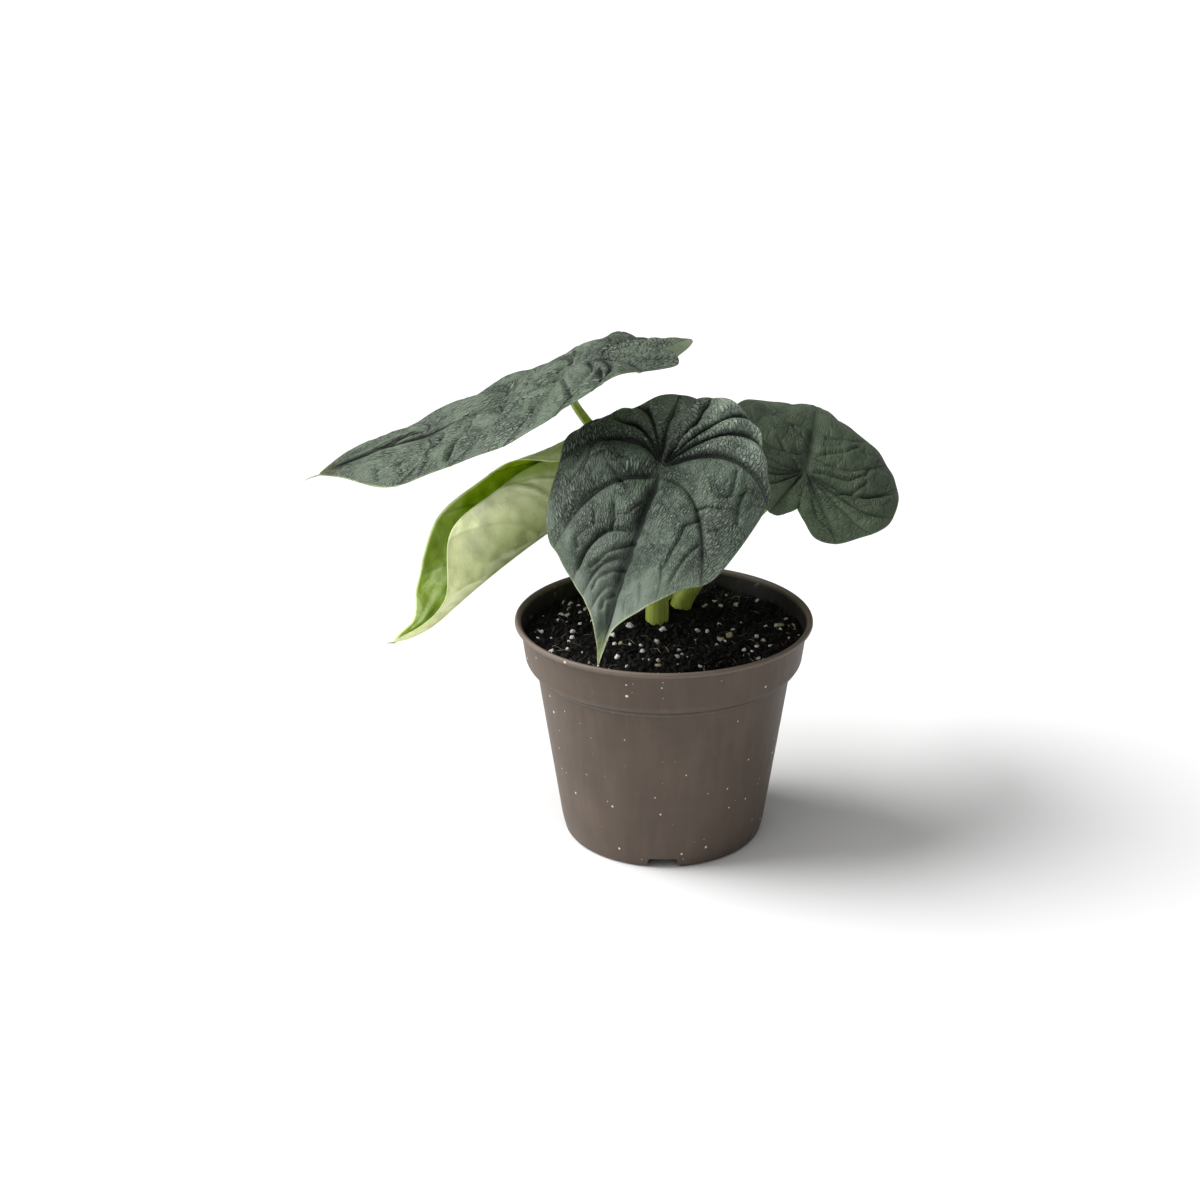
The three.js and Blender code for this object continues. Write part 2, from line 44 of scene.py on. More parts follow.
# The pot, as radius and height in millimetres
RIM_RADIUS = 60
POT_HEIGHT = 92.7
BAND_FOOT_Z = 71.3
FOOT_TOP_Z = 6.5
FOOT_RADIUS = 42.1
WALL_TAPER = 0.144
WALL = 1.25
CHANNEL_TOP_Z = 4.2
FLOOR_TOP_Z = 5.6
DISC = {"radius": 27, "thickness": 1.5}
NOTCH = {"count": 4, "width": 12, "height": 4.1, "inwards": 6.5, "outwards": 5.5}
DRAIN = {"count": 8, "radius": 2.6, "ring": 32.3, "sides": 32}
POT_SIDES = 288
SHARP_ANGLE = 40
FOOT = [(0, 0), (DISC["radius"], 0), (28.2, CHANNEL_TOP_Z), (36.6, CHANNEL_TOP_Z), (37.6, 0), (40, 0),
        (40.8, 0.9), (FOOT_RADIUS, FOOT_TOP_Z)]
BAND = [(52.6, 72), (54.4, 73.7), (55.8, 76), (57.6, 89.3)]
RIM = [(58.6, 89.9), (RIM_RADIUS, 91.1), (59.8, 92.2), (58.9, POT_HEIGHT), (57.5, 91.9)]

# The soil, and what lies in it
SOIL = {"level": 84.5, "roughness": 1.1, "rings": 120, "sectors": 330}
MOUND = {"x": 2, "y": 24, "height": 1.6, "spread": 22.4}
DIP = {"x": -3, "y": 8, "depth": 1.8, "spread_squared": 60}
CRUMBS = ((9.0, 2.0, 41), (4.2, 1.3, 47), (2.0, 0.75, 53))
SOIL_EDGE = 55.9
MODEL_GRAINS = {"count": 28, "smallest": 0.9, "largest": 1.9, "from_stalks": 9, "reach": 51.15, "seed": 5}

# The stalks
STALK_FOOT = 67
STALK_BEND = 86.5
STALK_RINGS = 96
STALK_SIDES = 32
CLEARANCE = 0.3

# The blades
ROWS_PER_BAY = 20
BLADE_STEPS = 84
VEIN_BOW = 0.26
VEIN_SPREAD = 0.6
FULL_BAY = 9
FOLDS = {"height": 0.28, "waves": 2.5, "shift": 0.37}
VALLEY_WIDTH = (3.2, 2.2)
EDGE_THICKNESS = 0.4
EDGE_BULGE = 0.16
EDGE_SAMPLES = 1600
HAIR = {"rings": 14, "sides": 10, "overlap": 1.2}


def plain_veins(*shares):
    """Veins that bow alike, each from a share of the midrib to two shares of the right and left edge."""
    def bow(end):
        return VEIN_BOW * math.sin(math.pi * max(0, end - 0.12) / 0.88)
    return [(start, *((end, bow(end), VEIN_SPREAD) for end in ends)) for start, *ends in shares]


OPEN_VEINS = plain_veins((0, 0.12, 0.12), (0, 0.22, 0.22), (0, 0.33, 0.31), (0.03, 0.44, 0.4),
                         (0.15, 0.56, 0.55), (0.36, 0.69, 0.69), (0.62, 0.82, 0.82))

# Each leaf, in millimetres and degrees. Its blade meets the stalk at the junction; its lobes lie behind that.
# heading, pitch and roll aim the blade, and bend, flick, sway and twist change them towards tip and lobes.
# rise and turn are the slope and the curl of each half at the lobes, at the stalk and at the tip.
# The edge runs from the notch between the lobes to the tip, as shares of length and width.
# A vein is its start along the midrib and, for each half, its end along the edge, its bow and its spread.
# quilt is the height of the pillows between veins, wave that of the edge, and wrinkle that of fine relief,
# which calm takes off towards the tip. valley is the depth of the groove along the midrib, and steep how soon
# the pillows rise from it. creases are side veins, as points along and across; marks scales their depth.
# A bay lies between two veins. Its values run from the notch to the tip: lift is its pillow's share of the
# height, comb that of comb-like ridges, faint how much the vein before it fades, and dusk and after
# the painted shade on the flank before the next vein and after the last. dusk_midrib and
# dusk_width are those of the painted shade beside the midrib.
# hair is the length of the dry tip. The stalk runs from foot by route, with three radii along it, and is
# straight for that length under the blade.
LEAVES = {
    "left": dict(
        junction=(-31.5, 30, 188), length=120, lobe=33, width=95, heading=168, pitch=-28,
        bend_tip=15, bend_lobe=-28, flick=-6, sway=27, sway_lobe=-3, roll=3, twist=6, twist_lobe=-3,
        rise_right=(8, 12, 4), turn_right=(-77, -28, -66), rise_left=(7, 16, -14), turn_left=(5, -41, -28),
        edge_right=[(-0.27, 0), (-0.31, 0.06), (-0.34, 0.16), (-0.345, 0.27), (-0.3, 0.38), (-0.155, 0.49),
                    (0.09, 0.49), (0.31, 0.415), (0.54, 0.31), (0.79, 0.22), (0.93, 0.07), (1, 0)],
        veins=OPEN_VEINS, quilt=2.6, wave=0.7, thickness=1.1, wrinkle=0.6, hair=6.5,
        lift_right=(0.5, 0.5, 0.5, 0.45, 0.8, 1, 1, 0.8), lift_left=(0.5, 0.7, 0.8, 0.9, 1, 1, 1, 0.8),
        marks=1.7, calm=0.3, dusk_midrib=0.9, dusk=0.6, comb=0.8,
        creases=[[(12, 1), (18, 0), (20, -12), (28, -20), (35, -27), (44, -31)],
                 [(21, -12), (32, -4), (42, -5), (49, -8), (54, -17), (60, -22), (65, -26)],
                 [(54, 1), (59, -5), (67, -12), (72, -15), (74, -20), (79, -24)], [(86, -14), (87, -19)],
                 [(96, -10), (97, -16)], [(20, -24), (18, -35), (20, -42)], [(17, 8), (25, 11), (27, 4)],
                 [(9, 25), (7, 6)], [(1, -29), (-3, -42)], [(-14, -29), (-16, -39)],
                 [(-24, 2), (-10, 1), (-4, -12)], [(75, 4), (84, 3), (93, 0)]],
        foot=(1, 35), radii=(4.2, 2.5, 1.4), straight=0,
        route=[(2.5, 41, 106), (-11.5, 53, 128), (-26, 54, 149.2), (-37, 50, 166.3), (-38, 36.5, 178)],
    ),
    "front": dict(
        junction=(-0.7, -15.8, 159.7), length=82, lobe=35.5, width=89.5, heading=-125.3, pitch=-47.3,
        bend_tip=-23, bend_lobe=-14, flick=-17, sway=-0.5, sway_lobe=-2, roll=2, twist=-9.5, twist_lobe=6,
        rise_right=(1, 27, 2), turn_right=(-30, -46, -12), rise_left=(16, 14, 2), turn_left=(-101, -59, -17),
        edge_right=[(-0.39, 0), (-0.405, 0.07), (-0.415, 0.155), (-0.38, 0.25), (-0.3, 0.35), (-0.11, 0.47),
                    (0.03, 0.515), (0.43, 0.44), (0.55, 0.315), (0.75, 0.095), (0.87, 0.032), (1, 0)],
        veins=[(0, (0.06, 0.1, 1), (0.04, 0.1, 1)), (0, (0.19, 0.14, 0.5), (0.18, 0.3, 0.7)),
               (0, (0.31, 0.2, 0.45), (0.27, 0.33, 0.77)), (0, (0.44, 0.25, 0.4), (0.395, 0.27, 0.7)),
               (0.06, (0.665, 0.18, 0.72), (0.655, 0.27, 0.66)),
               (0.34, (0.775, 0.16, 1), (0.765, 0.15, 0.85)),
               (0.47, (0.82, 0.1, 0.82), (0.82, 0.1, 0.75)), (0.61, (0.865, 0.09, 0.68), (0.865, 0.08, 0.7)),
               (0.8, (0.94, 0.05, 0.6), (0.94, 0.05, 0.6))],
        quilt=3.9, wave=0.4, thickness=1.1, wrinkle=0.5, hair=3.2,
        lift_right=(0.8, 0.9, 0.75, 1.0, 1.15, 0.6, 0.4, 0.28, 0.1, 0),
        lift_left=(0.8, 1.0, 0.9, 0.9, 0.4, 0.5, 0.25, 0.12, 0.05, 0),
        comb_right=(1, 1, 1, 1, 0.8, 0.3, 0, 0, 0, 0), comb_left=(1, 1, 0.8, 1, 0, 0, 0, 0, 0, 0),
        faint_left=(0, 0, 0, 0, 0, 0, 1, 1, 1, 1), faint_right=(0, 0, 0, 0, 0, 0, 0, 0, 0.5, 1),
        valley=2.6, steep=0.07, dusk_midrib=0.95, dusk_width=(3.4, 1.1),
        dusk_right=(1, 1, 1, 1, 1, 0.8, 0.6, 0.5, 0.4, 0), dusk_left=(1, 1, 0.9, 1, 0.2, 0.4, 0.2, 0, 0, 0),
        after_left=(0, 0, 0, 0, 0, 0.85, 0, 0, 0, 0),
        creases=[[(-1, 31), (4, 29), (10, 30), (14, 32), (20, 37)], [(1, 19), (2, 16), (1, 13)],
                 [(24, 19), (29, 17), (32, 21), (36, 23), (39, 21)],
                 [(30, 12), (33, 15), (37, 17), (41, 18), (47, 19)],
                 [(15, 2), (21, 5), (23, 9)], [(32, 0), (35, 4), (38, 8), (42, 11), (45, 13)],
                 [(43, 0), (45, 5), (49, 9), (53, 10)], [(53, 1), (56, 4), (59, 4)],
                 [(17, -24), (21, -20), (27, -20), (32, -19), (38, -18)],
                 [(26, -28), (31, -26), (36, -25), (44, -23)], [(-7, -30), (-2, -31), (4, -32), (5, -28)],
                 [(13, -22), (10, -26), (10, -31)], [(20, -29), (19, -31), (18, -33)],
                 [(0, -36), (6, -36), (12, -38)],
                 [(6, 20), (10, 14), (12, 9)], [(2, 24), (6, 28), (12, 28)], [(20, 12), (25, 10), (29, 10)]],
        foot=(-2.7, 13.8), radii=(5, 4.4, 2), straight=14,
        route=[(-2, 12.5, 112), (2, 7, 134)],
    ),
    "right": dict(
        junction=(57.6, 30.8, 143.6), length=84.5, lobe=31.5, width=79.5, heading=78, pitch=29,
        bend_tip=-62.5, bend_lobe=5, flick=0, sway=10, sway_lobe=4.5, roll=-17, twist=1, twist_lobe=9,
        rise_right=(18, 12, -19), turn_right=(-25, -33, -24),
        rise_left=(30, 17, -20), turn_left=(-19, -16, -10),
        edge_right=[(-0.256, 0), (-0.33, 0.05), (-0.42, 0.13), (-0.405, 0.24), (-0.3, 0.36), (-0.15, 0.48),
                    (0.06, 0.505), (0.32, 0.425), (0.55, 0.315), (0.76, 0.16), (0.9, 0.05), (1, 0)],
        veins=plain_veins((0, 0.16, 0.12), (0, 0.27, 0.22), (0, 0.37, 0.33), (0, 0.47, 0.44),
                          (0.12, 0.58, 0.57), (0.35, 0.71, 0.71), (0.62, 0.83, 0.83)),
        quilt=1.7, wave=0.6, thickness=1.1, wrinkle=0.5, hair=3,
        lift=(1, 1, 1, 1, 1, 0.9, 0.6, 0.3), dusk=(0, 0.3, 0.5, 0.7, 0.8, 0.8, 0.6, 0.4),
        creases=[[(-1, -2), (-4, -11), (-2, -18)], [(0, -4), (4, -9), (8, -12), (11, -15)],
                 [(15, -1), (20, -7), (24, -9)], [(10, 4), (12, 7), (16, 15), (25, 20)],
                 [(22, 6), (23, 8), (25, 13)],
                 [(0, 4), (-1, 11), (0, 18), (5, 24), (11, 26)], [(-16, 5), (-24, 9), (-28, 15), (-31, 19)],
                 [(-9, 15), (-6, 20), (1, 25)], [(5, 8), (6, 10), (7, 12)], [(-6, 25), (-1, 33), (3, 38)]],
        foot=(7.2, 26.2), radii=(4.8, 3.8, 1.9), straight=8,
        route=[(9.8, 26.4, 92.5), (18, 27.5, 103.5), (31.5, 31, 119.5), (44.5, 34.5, 130.5)],
    ),
    "rolled": dict(
        junction=(-22.8, 35.7, 135.5), length=110.4, lobe=22, width=90, heading=198, pitch=-28,
        bend_tip=-14, bend_lobe=-25, flick=39, sway=9, sway_lobe=-1, roll=7, twist=-9, twist_lobe=-8,
        rise_right=(14, 18, 41), turn_right=(176, 176, -34), rise_left=(14, 14, 39), turn_left=(234, 234, 51),
        edge_right=[(-0.2, 0), (-0.22, 0.05), (-0.25, 0.13), (-0.255, 0.25), (-0.22, 0.38), (-0.12, 0.485),
                    (0.13, 0.555), (0.33, 0.395), (0.576, 0.35), (0.784, 0.19), (0.88, 0.075), (0.96, 0.036),
                    (1, 0)],
        edge_left=[(-0.2, 0), (-0.22, 0.05), (-0.25, 0.13), (-0.255, 0.25), (-0.22, 0.36), (-0.12, 0.45),
                   (0.1, 0.475), (0.33, 0.39), (0.576, 0.368), (0.748, 0.125), (0.868, 0.07), (0.96, 0.05),
                   (1, 0)],
        veins=OPEN_VEINS, quilt=0.6, wave=0.3, thickness=0.9, wrinkle=0.12, hair=2.5,
        creases=[[(36, -36), (33, -32), (29, -28), (26, -24), (24, -19), (23, -14)]],
        foot=(-9.5, 29), radii=(4, 3.2, 2), straight=7,
        route=[(-11.5, 33, 107)],
    ),
}


def smooth(x):
    x = np.clip(x, 0, 1)
    return x * x * (3 - 2 * x)


def mix(a, b, share):
    return a + (b - a) * share


def pick(at, where, line):
    """Points between those of a line, of which each one lies at its number in where."""
    return np.stack([np.interp(at, where, column) for column in line.T], -1)


def unit(vectors):
    return vectors / np.maximum(np.linalg.norm(vectors, axis=-1, keepdims=True), 1e-9)


def hashed(i, j, salt):
    """A fixed random share for each pair of whole numbers."""
    return np.modf(np.abs(np.sin(i * 127.1 + j * 311.7 + salt * 74.7) * 43758.5453))[0]


def cells(u, v, salt=0):
    """Distances to the nearest and to the next of a scatter of points, one in each unit square."""
    nearest = np.full(np.shape(u), 9.0)
    second = nearest.copy()
    i0, j0 = np.floor(u), np.floor(v)
    for di in (-1, 0, 1):
        for dj in (-1, 0, 1):
            i, j = i0 + di, j0 + dj
            x = i + 0.15 + 0.7 * hashed(i, j, salt)
            y = j + 0.15 + 0.7 * hashed(i, j, salt + 1)
            d = np.hypot(u - x, v - y)
            second = np.minimum(second, np.maximum(nearest, d))
            nearest = np.minimum(nearest, d)
    return nearest, second


def swell(u, v, salt=0):
    """Soft random bumps about one unit wide, from -1 to 1."""
    i, j = np.floor(u), np.floor(v)
    x, y = smooth(u - i), smooth(v - j)
    low = mix(hashed(i, j, salt), hashed(i + 1, j, salt), x)
    high = mix(hashed(i, j + 1, salt), hashed(i + 1, j + 1, salt), x)
    return 2 * mix(low, high, y) - 1


# Meshes


def make_piece(name, points, faces, values=None):
    """A smooth-shaded object at the origin. points are in millimetres, values are kept for the material."""
    mesh = bpy.data.meshes.new(name)
    mesh.from_pydata((np.asarray(points) * MM).tolist(), [], faces)
    for key, data in (values or {}).items():
        data = np.asarray(data, dtype=np.float32).reshape(len(points), -1)
        kind, field = ("FLOAT_VECTOR", "vector") if data.shape[1] == 3 else ("FLOAT", "value")
        mesh.attributes.new(key, kind, "POINT").data.foreach_set(field, data.ravel())
    return link_smooth(name, mesh)


def put(name, data):
    """A new object in the scene."""
    made = bpy.data.objects.new(name, data)
    bpy.context.scene.collection.objects.link(made)
    return made


def link_smooth(name, mesh):
    mesh.polygons.foreach_set("use_smooth", [True] * len(mesh.polygons))
    return put(name, mesh)


def rework(piece, change):
    """Runs a change on the piece's mesh as a bmesh."""
    work = bmesh.new()
    work.from_mesh(piece.data)
    change(work)
    work.to_mesh(piece.data)
    work.free()


def merge_seams(work, distance=0.004 * MM):
    bmesh.ops.remove_doubles(work, verts=work.verts, dist=distance)
    bmesh.ops.dissolve_degenerate(work, edges=work.edges, dist=distance / 4)


def around(sides):
    """The angles of that many even steps around a circle."""
    return np.arange(sides) * 2 * np.pi / sides


def grid_faces(rows, columns, first=0, closed=False, flip=False):
    """Quads between neighbouring rows of points; closed joins the last column to the first."""
    faces = []
    last = columns if closed else columns - 1
    for i in range(rows - 1):
        for j in range(last):
            a = first + i * columns + j
            b = first + i * columns + (j + 1) % columns
            quad = (a, b, b + columns, a + columns)
            faces.append(quad[::-1] if flip else quad)
    return faces


def tube_faces(rings, sides, first=0):
    """The skin of a tube that is closed by one face at each end."""
    start, end = range(first, first + sides), range(first + (rings - 1) * sides, first + rings * sides)
    return grid_faces(rings, sides, first, closed=True) + [tuple(start)[::-1], tuple(end)]


def make_turned(name, rings, low, high, values=None):
    """A piece of rings around the axis, closed on it at height low under the first and high over the last."""
    count, sides = rings.shape[:2]
    points = np.vstack([rings.reshape(-1, 3), [(0, 0, high), (0, 0, low)]])
    faces = grid_faces(count, sides, closed=True)
    top, bottom, last = len(points) - 2, len(points) - 1, (count - 1) * sides
    for k in range(sides):
        after = (k + 1) % sides
        faces += [(top, last + k, last + after), (bottom, after, k)]
    return make_piece(name, points, faces, values)


def finish_piece(piece, material, slot, *nodes):
    piece.data.materials.clear()
    piece.data.materials.append(material)
    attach(piece, ROOT)
    if nodes:
        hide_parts(*nodes)


# The blades


class Sheet:
    """A blade as a smooth sheet: s runs along the midrib from the stalk, t across it, right positive."""

    def __init__(self, leaf):
        self.leaf = leaf
        length = leaf["length"]
        before = math.ceil(length * 0.45)
        s = np.arange(-before, math.ceil(length * 1.02) + 1, dtype=float)
        f = np.clip(s / length, 0, 1.2)
        b = np.clip(-s / leaf["lobe"], 0, 1.3)
        end = np.clip((f - 0.8) / 0.2, 0, 1.2)
        bend = leaf["bend_tip"] * f ** 1.3 + leaf["flick"] * end - leaf["bend_lobe"] * b
        pitch = np.radians(leaf["pitch"] + bend)
        heading = np.radians(leaf["heading"] + leaf["sway"] * f - leaf["sway_lobe"] * b)
        roll = np.radians(leaf["roll"] + leaf["twist"] * f - leaf["twist_lobe"] * b)[:, None]
        flat = np.cos(pitch)
        ahead = np.stack([flat * np.cos(heading), flat * np.sin(heading), np.sin(pitch)], -1)
        level = np.stack([np.sin(heading), -np.cos(heading), 0 * heading], -1)
        over = np.cross(level, ahead)
        self.s = s
        self.ahead = ahead
        self.side = level * np.cos(roll) + over * np.sin(roll)
        self.up = over * np.cos(roll) - level * np.sin(roll)
        place = np.vstack([np.zeros(3), np.cumsum((ahead[1:] + ahead[:-1]) / 2, axis=0)])
        self.place = place - place[before] + np.array(leaf["junction"])

    def along(self, s, values):
        at_lobe, at_stalk, at_tip = values
        forward = (at_tip - at_stalk) * smooth(s / self.leaf["length"])
        return at_stalk + forward + (at_lobe - at_stalk) * smooth(-s / self.leaf["lobe"])

    def at(self, s, t):
        place, side, up = (pick(s, self.s, line) for line in (self.place, self.side, self.up))
        side, up = unit(side), unit(up)
        right = t >= 0
        rise, turn = (
            np.where(right, self.along(s, self.leaf[key + "_right"]), self.along(s, self.leaf[key + "_left"]))
            for key in ("rise", "turn")
        )
        rise = np.radians(rise)
        turn = np.radians(turn) / (self.leaf["width"] / 2)
        turn = np.where(np.abs(turn) < 1e-5, 1e-5, turn)
        reach = np.abs(t)
        out = (np.sin(rise + turn * reach) - np.sin(rise)) / turn
        high = (np.cos(rise) - np.cos(rise + turn * reach)) / turn
        return place + side * np.where(right, out, -out)[..., None] + up * high[..., None]

    def normal(self, s, t, h=0.4):
        lengthwise = self.at(s + h, t) - self.at(s - h, t)
        crosswise = self.at(s, t + h) - self.at(s, t - h)
        return unit(np.cross(crosswise, lengthwise))


def distance(s, t, line):
    """How far each place is from the nearest of the line's points."""
    least = np.full(s.shape, 99.0)
    for x, y in line:
        least = np.minimum(least, np.hypot(s - x, t - y))
    return least


def evenly(line, samples):
    """That many points along a line, evenly spaced by length."""
    run = np.r_[0, np.cumsum(np.linalg.norm(np.diff(line, axis=0), axis=1))]
    return pick(np.linspace(0, run[-1], samples), run, line)


def edge_line(leaf, right, samples=EDGE_SAMPLES):
    """The outline of one half, evenly spaced from the notch to the tip."""
    shares = leaf["edge_right"] if right else leaf.get("edge_left", leaf["edge_right"])
    p = np.array(shares, dtype=float) * [leaf["length"], leaf["width"] * (1 if right else -1)]
    p = np.vstack([p[0], p, p[-1]])
    spans = len(p) - 3
    x = np.linspace(0, spans, samples)
    i = np.minimum(x.astype(int), spans - 1)
    w = (x - i)[:, None]
    a, b, c, d = p[i], p[i + 1], p[i + 2], p[i + 3]
    v0, v1 = (c - a) / 2, (d - b) / 2
    line = (2 * b - 2 * c + v0 + v1) * w ** 3 + (-3 * b + 3 * c - 2 * v0 - v1) * w ** 2 + v0 * w + b
    return evenly(line, samples)


def vein_rows(leaf, right, bay, share):
    """Curves on the sheet that lie between two veins, at each share of the bay between them."""
    side = 1 if right else 2
    veins = [(vein[0], *vein[side]) for vein in leaf["veins"]]
    stops = np.array([(0, 0, 0, 1), *veins, (1, 1, 0, 0.6)], dtype=float)
    low, high = stops[bay], stops[np.minimum(bay + 1, len(stops) - 1)]
    begin, q, bow, spread = mix(low, high, np.reshape(share, (-1, 1))).T
    start = np.stack([begin * leaf["length"], 0 * q], -1)
    line = edge_line(leaf, right)
    end = pick(q, np.linspace(0, 1, len(line)), line)
    bend = np.stack([(start[:, 0] + end[:, 0]) / 2 - bow * leaf["length"], spread * end[:, 1]], -1)
    r = np.linspace(0, 1, BLADE_STEPS + 1)[None, :, None]
    return start[:, None] * (1 - r) ** 2 + 2 * bend[:, None] * r * (1 - r) + end[:, None] * r ** 2


def half_blade(leaf, sheet, right):
    """One half's upper skin, lower skin and edge, with what its material needs to know at each point."""
    length, bays = leaf["length"], len(leaf["veins"]) + 1
    bay = np.append(np.repeat(np.arange(bays), ROWS_PER_BAY), bays)
    share = np.append(np.tile(np.arange(ROWS_PER_BAY) / ROWS_PER_BAY, bays), 0.0)
    next_bay = np.minimum(bay + 1, bays)
    flat = vein_rows(leaf, right, bay, share)
    low, high = vein_rows(leaf, right, bay, 0 * share), vein_rows(leaf, right, next_bay, 0 * share)
    gap = np.linalg.norm(high - low, axis=-1)
    r = np.linspace(0, 1, BLADE_STEPS + 1)[None, :]
    b2, s2 = bay[:, None], share[:, None]
    s, t = flat[..., 0], flat[..., 1]

    def of_bay(key, default, rows=bay):
        """The leaf's value for each row's bay, with nothing after the last bay."""
        given = leaf.get(key + ("_right" if right else "_left"), leaf.get(key, default))
        return np.append(np.full(bays, given, dtype=float), 0)[rows][:, None]

    # Pillows between sunken veins, with cross folds, a waved edge and a valley along the midrib
    midrib = flat[:, :1, 0] / length
    tip_fade = 1 - smooth((midrib - 0.7) / 0.3)
    last_quarter = smooth((s / length - 0.75) / 0.25)
    by_notch = b2 == 0
    round_top = mix((4 * s2 * (1 - s2)) ** 0.75, (1 - np.cos(2 * np.pi * s2)) / 2, smooth((r - 0.6) / 0.4))
    room = np.clip(gap / FULL_BAY, 0, 1)
    pillow = np.where(by_notch, 1 - s2 ** 2, round_top * room)
    reach = smooth(r / leaf.get("steep", 0.12)) * (1 - 0.75 * smooth((r - 0.8) / 0.2))
    folds = np.cos(2 * np.pi * (FOLDS["waves"] * r + FOLDS["shift"] * b2))
    folds = 1 + FOLDS["height"] * folds * smooth(b2 + s2)
    wave = np.sin(2.4 * (b2 + s2)) * smooth((r - 0.6) / 0.4)
    sunk = 0.5 * room * smooth(b2 + s2) * (1 - 0.6 * smooth((r - 0.5) / 0.5))
    sunk = sunk * mix(1, 0.3, smooth((midrib - 0.3) / 0.4))
    relief = leaf["quilt"] * mix(0.3, 1, tip_fade) * (pillow * folds * of_bay("lift", 1) - sunk) * reach
    relief = relief + leaf["wave"] * wave * tip_fade
    valley = leaf.get("valley", 0.8) * smooth((s - 3) / 8) * (1 - last_quarter)
    relief = relief - valley * np.exp(-((t / VALLEY_WIDTH[0 if right else 1]) ** 2))

    # Distances over the sheet, along and across the veins, and from the edge, the veins and the midrib
    run = np.linalg.norm(np.diff(flat, axis=1), axis=-1)
    along = np.concatenate([np.zeros((len(bay), 1)), np.cumsum(run, axis=1)], axis=1)
    step = np.linalg.norm(np.diff(flat, axis=0), axis=-1)
    across = np.concatenate([np.zeros((1, BLADE_STEPS + 1)), np.cumsum(step, axis=0)], axis=0)
    rim = distance(s, t, edge_line(leaf, right, 300))
    from_vein = np.where(by_notch, 1 - s2, np.where(b2 >= bays - 1, s2, np.minimum(s2, 1 - s2))) * gap
    faint = np.where(s2 < 0.5, of_bay("faint", 0), of_bay("faint", 0, next_bay))
    from_vein = from_vein + 3 * (1 - smooth(along / 5)) + 3 * faint * (1 - smooth((r - 0.45) / 0.25))
    from_midrib = np.abs(t) + 3 * (1 - smooth((s + 2) / 6))
    vein = np.exp(-((from_vein / 0.8) ** 2))
    middle = np.exp(-((from_midrib / 0.9) ** 2))

    # Side veins inside each bay: the marked creases and a net of shallow ones
    from_crease = np.full(s.shape, 9.0)
    for marked in leaf["creases"]:
        p = np.array(marked, dtype=float)
        dense = pick(np.linspace(0, len(p) - 1, 12 * len(p)), np.arange(len(p)), p)
        from_crease = np.minimum(from_crease, distance(s, t, dense))
    u = (s + 1.6 * swell(s / 7, t / 7, 3)) / 8
    v = (t + 1.6 * swell(s / 6, t / 6, 8)) / 6
    nearest, second = cells(u, v, 11)
    net = np.exp(-(((second - nearest) / 0.1) ** 2))
    calm = leaf.get("calm", 0.85) * smooth((s / length - 0.25) / 0.3)
    inside = smooth(rim / 5) * smooth(along / 6) * (1 - vein) * (1 - calm)
    lumps = swell(s / 3.6, t / 3.6, 21) + 0.6 * swell(s / 1.9, t / 2.6, 31)
    marks = 0.9 * np.exp(-((from_crease / 0.7) ** 2)) - 0.35 * np.exp(-(((from_crease - 2.1) / 1.3) ** 2))
    marks = marks * leaf.get("marks", 1) * smooth((rim - 1) / 5)
    relief = relief + leaf["wrinkle"] * inside * (0.8 * (0.5 - nearest ** 2) - 0.8 * net + 0.25 * lumps)
    relief = relief - (marks + 0.35 * vein * smooth(rim / 4)) * mix(0.4, 1, tip_fade)

    # Both skins, with ribs under the veins, and the rounded edge between them
    point, normal = sheet.at(s, t), sheet.normal(s, t)
    body = (1 - r * r) * tip_fade
    thick = mix(EDGE_THICKNESS, leaf["thickness"], smooth(rim / 6)) * mix(0.75, 1, body)
    ribs = 0.5 * vein * (1 - r * 0.6) * tip_fade + 1.3 * middle * (1 - midrib) * smooth(1 + s / 6)
    upper = point + normal * relief[..., None]
    lower = point + normal * (relief - thick - ribs)[..., None]
    outward = unit(upper[:, -1] - upper[:, -2])
    outward[-1] = unit(pick(length, sheet.s, sheet.ahead))
    brim = (upper[:, -1] + lower[:, -1]) / 2 + outward * EDGE_BULGE

    # Ridges gather on the flank that falls to the next vein; painted shade darkens that flank, the flank
    # after some veins, and the sides of the midrib
    ahead = np.where(b2 >= bays, 0, 1 - s2) * gap
    behind = np.where(b2 >= bays, 1, s2) * gap
    patches = 0.45 + 0.55 * smooth((swell(s / 12, t / 12, 61) + 0.35) / 0.3)
    comb = of_bay("comb", 0.5) * patches * (1 - smooth((ahead - 3.5) / 5)) * smooth(along / 4)
    shade_before_vein = of_bay("dusk", 0.5) * (1 - smooth((ahead - 0.3) / 2.4))
    # The flank just after a vein also gets painted shade where after is given
    after = of_bay("after", 0) * (1 - smooth((behind - 0.2) / 2.6)) * mix(0.3, 1, smooth((r - 0.25) / 0.35))
    flank_shade = np.maximum(shade_before_vein, after) * smooth(along / 4) * (1 - 0.7 * smooth((r - 0.75) / 0.2))
    width = leaf.get("dusk_width", (1.8, 1.8))[0 if right else 1]
    midrib_shade = leaf.get("dusk_midrib", 0.6) * (1 - smooth((np.abs(t) - 0.3) / width)) * smooth((s - 1) / 5)
    values = {
        "groove": np.minimum(from_vein, from_midrib),
        "comb": comb,
        "dusk": np.maximum(flank_shade, midrib_shade * (1 - 0.8 * last_quarter)),
        "crease": np.minimum(from_crease, 9 * (1 - net * inside * min(1, 2 * leaf["wrinkle"]))),
        "rim": rim,
        "tip": np.clip(s / length, -0.5, 1),
        "skin": np.stack([along, across, 0.3 * t], -1),
        "flat": np.stack([s, t, 0 * s], -1),
    }
    return upper, lower, brim, values


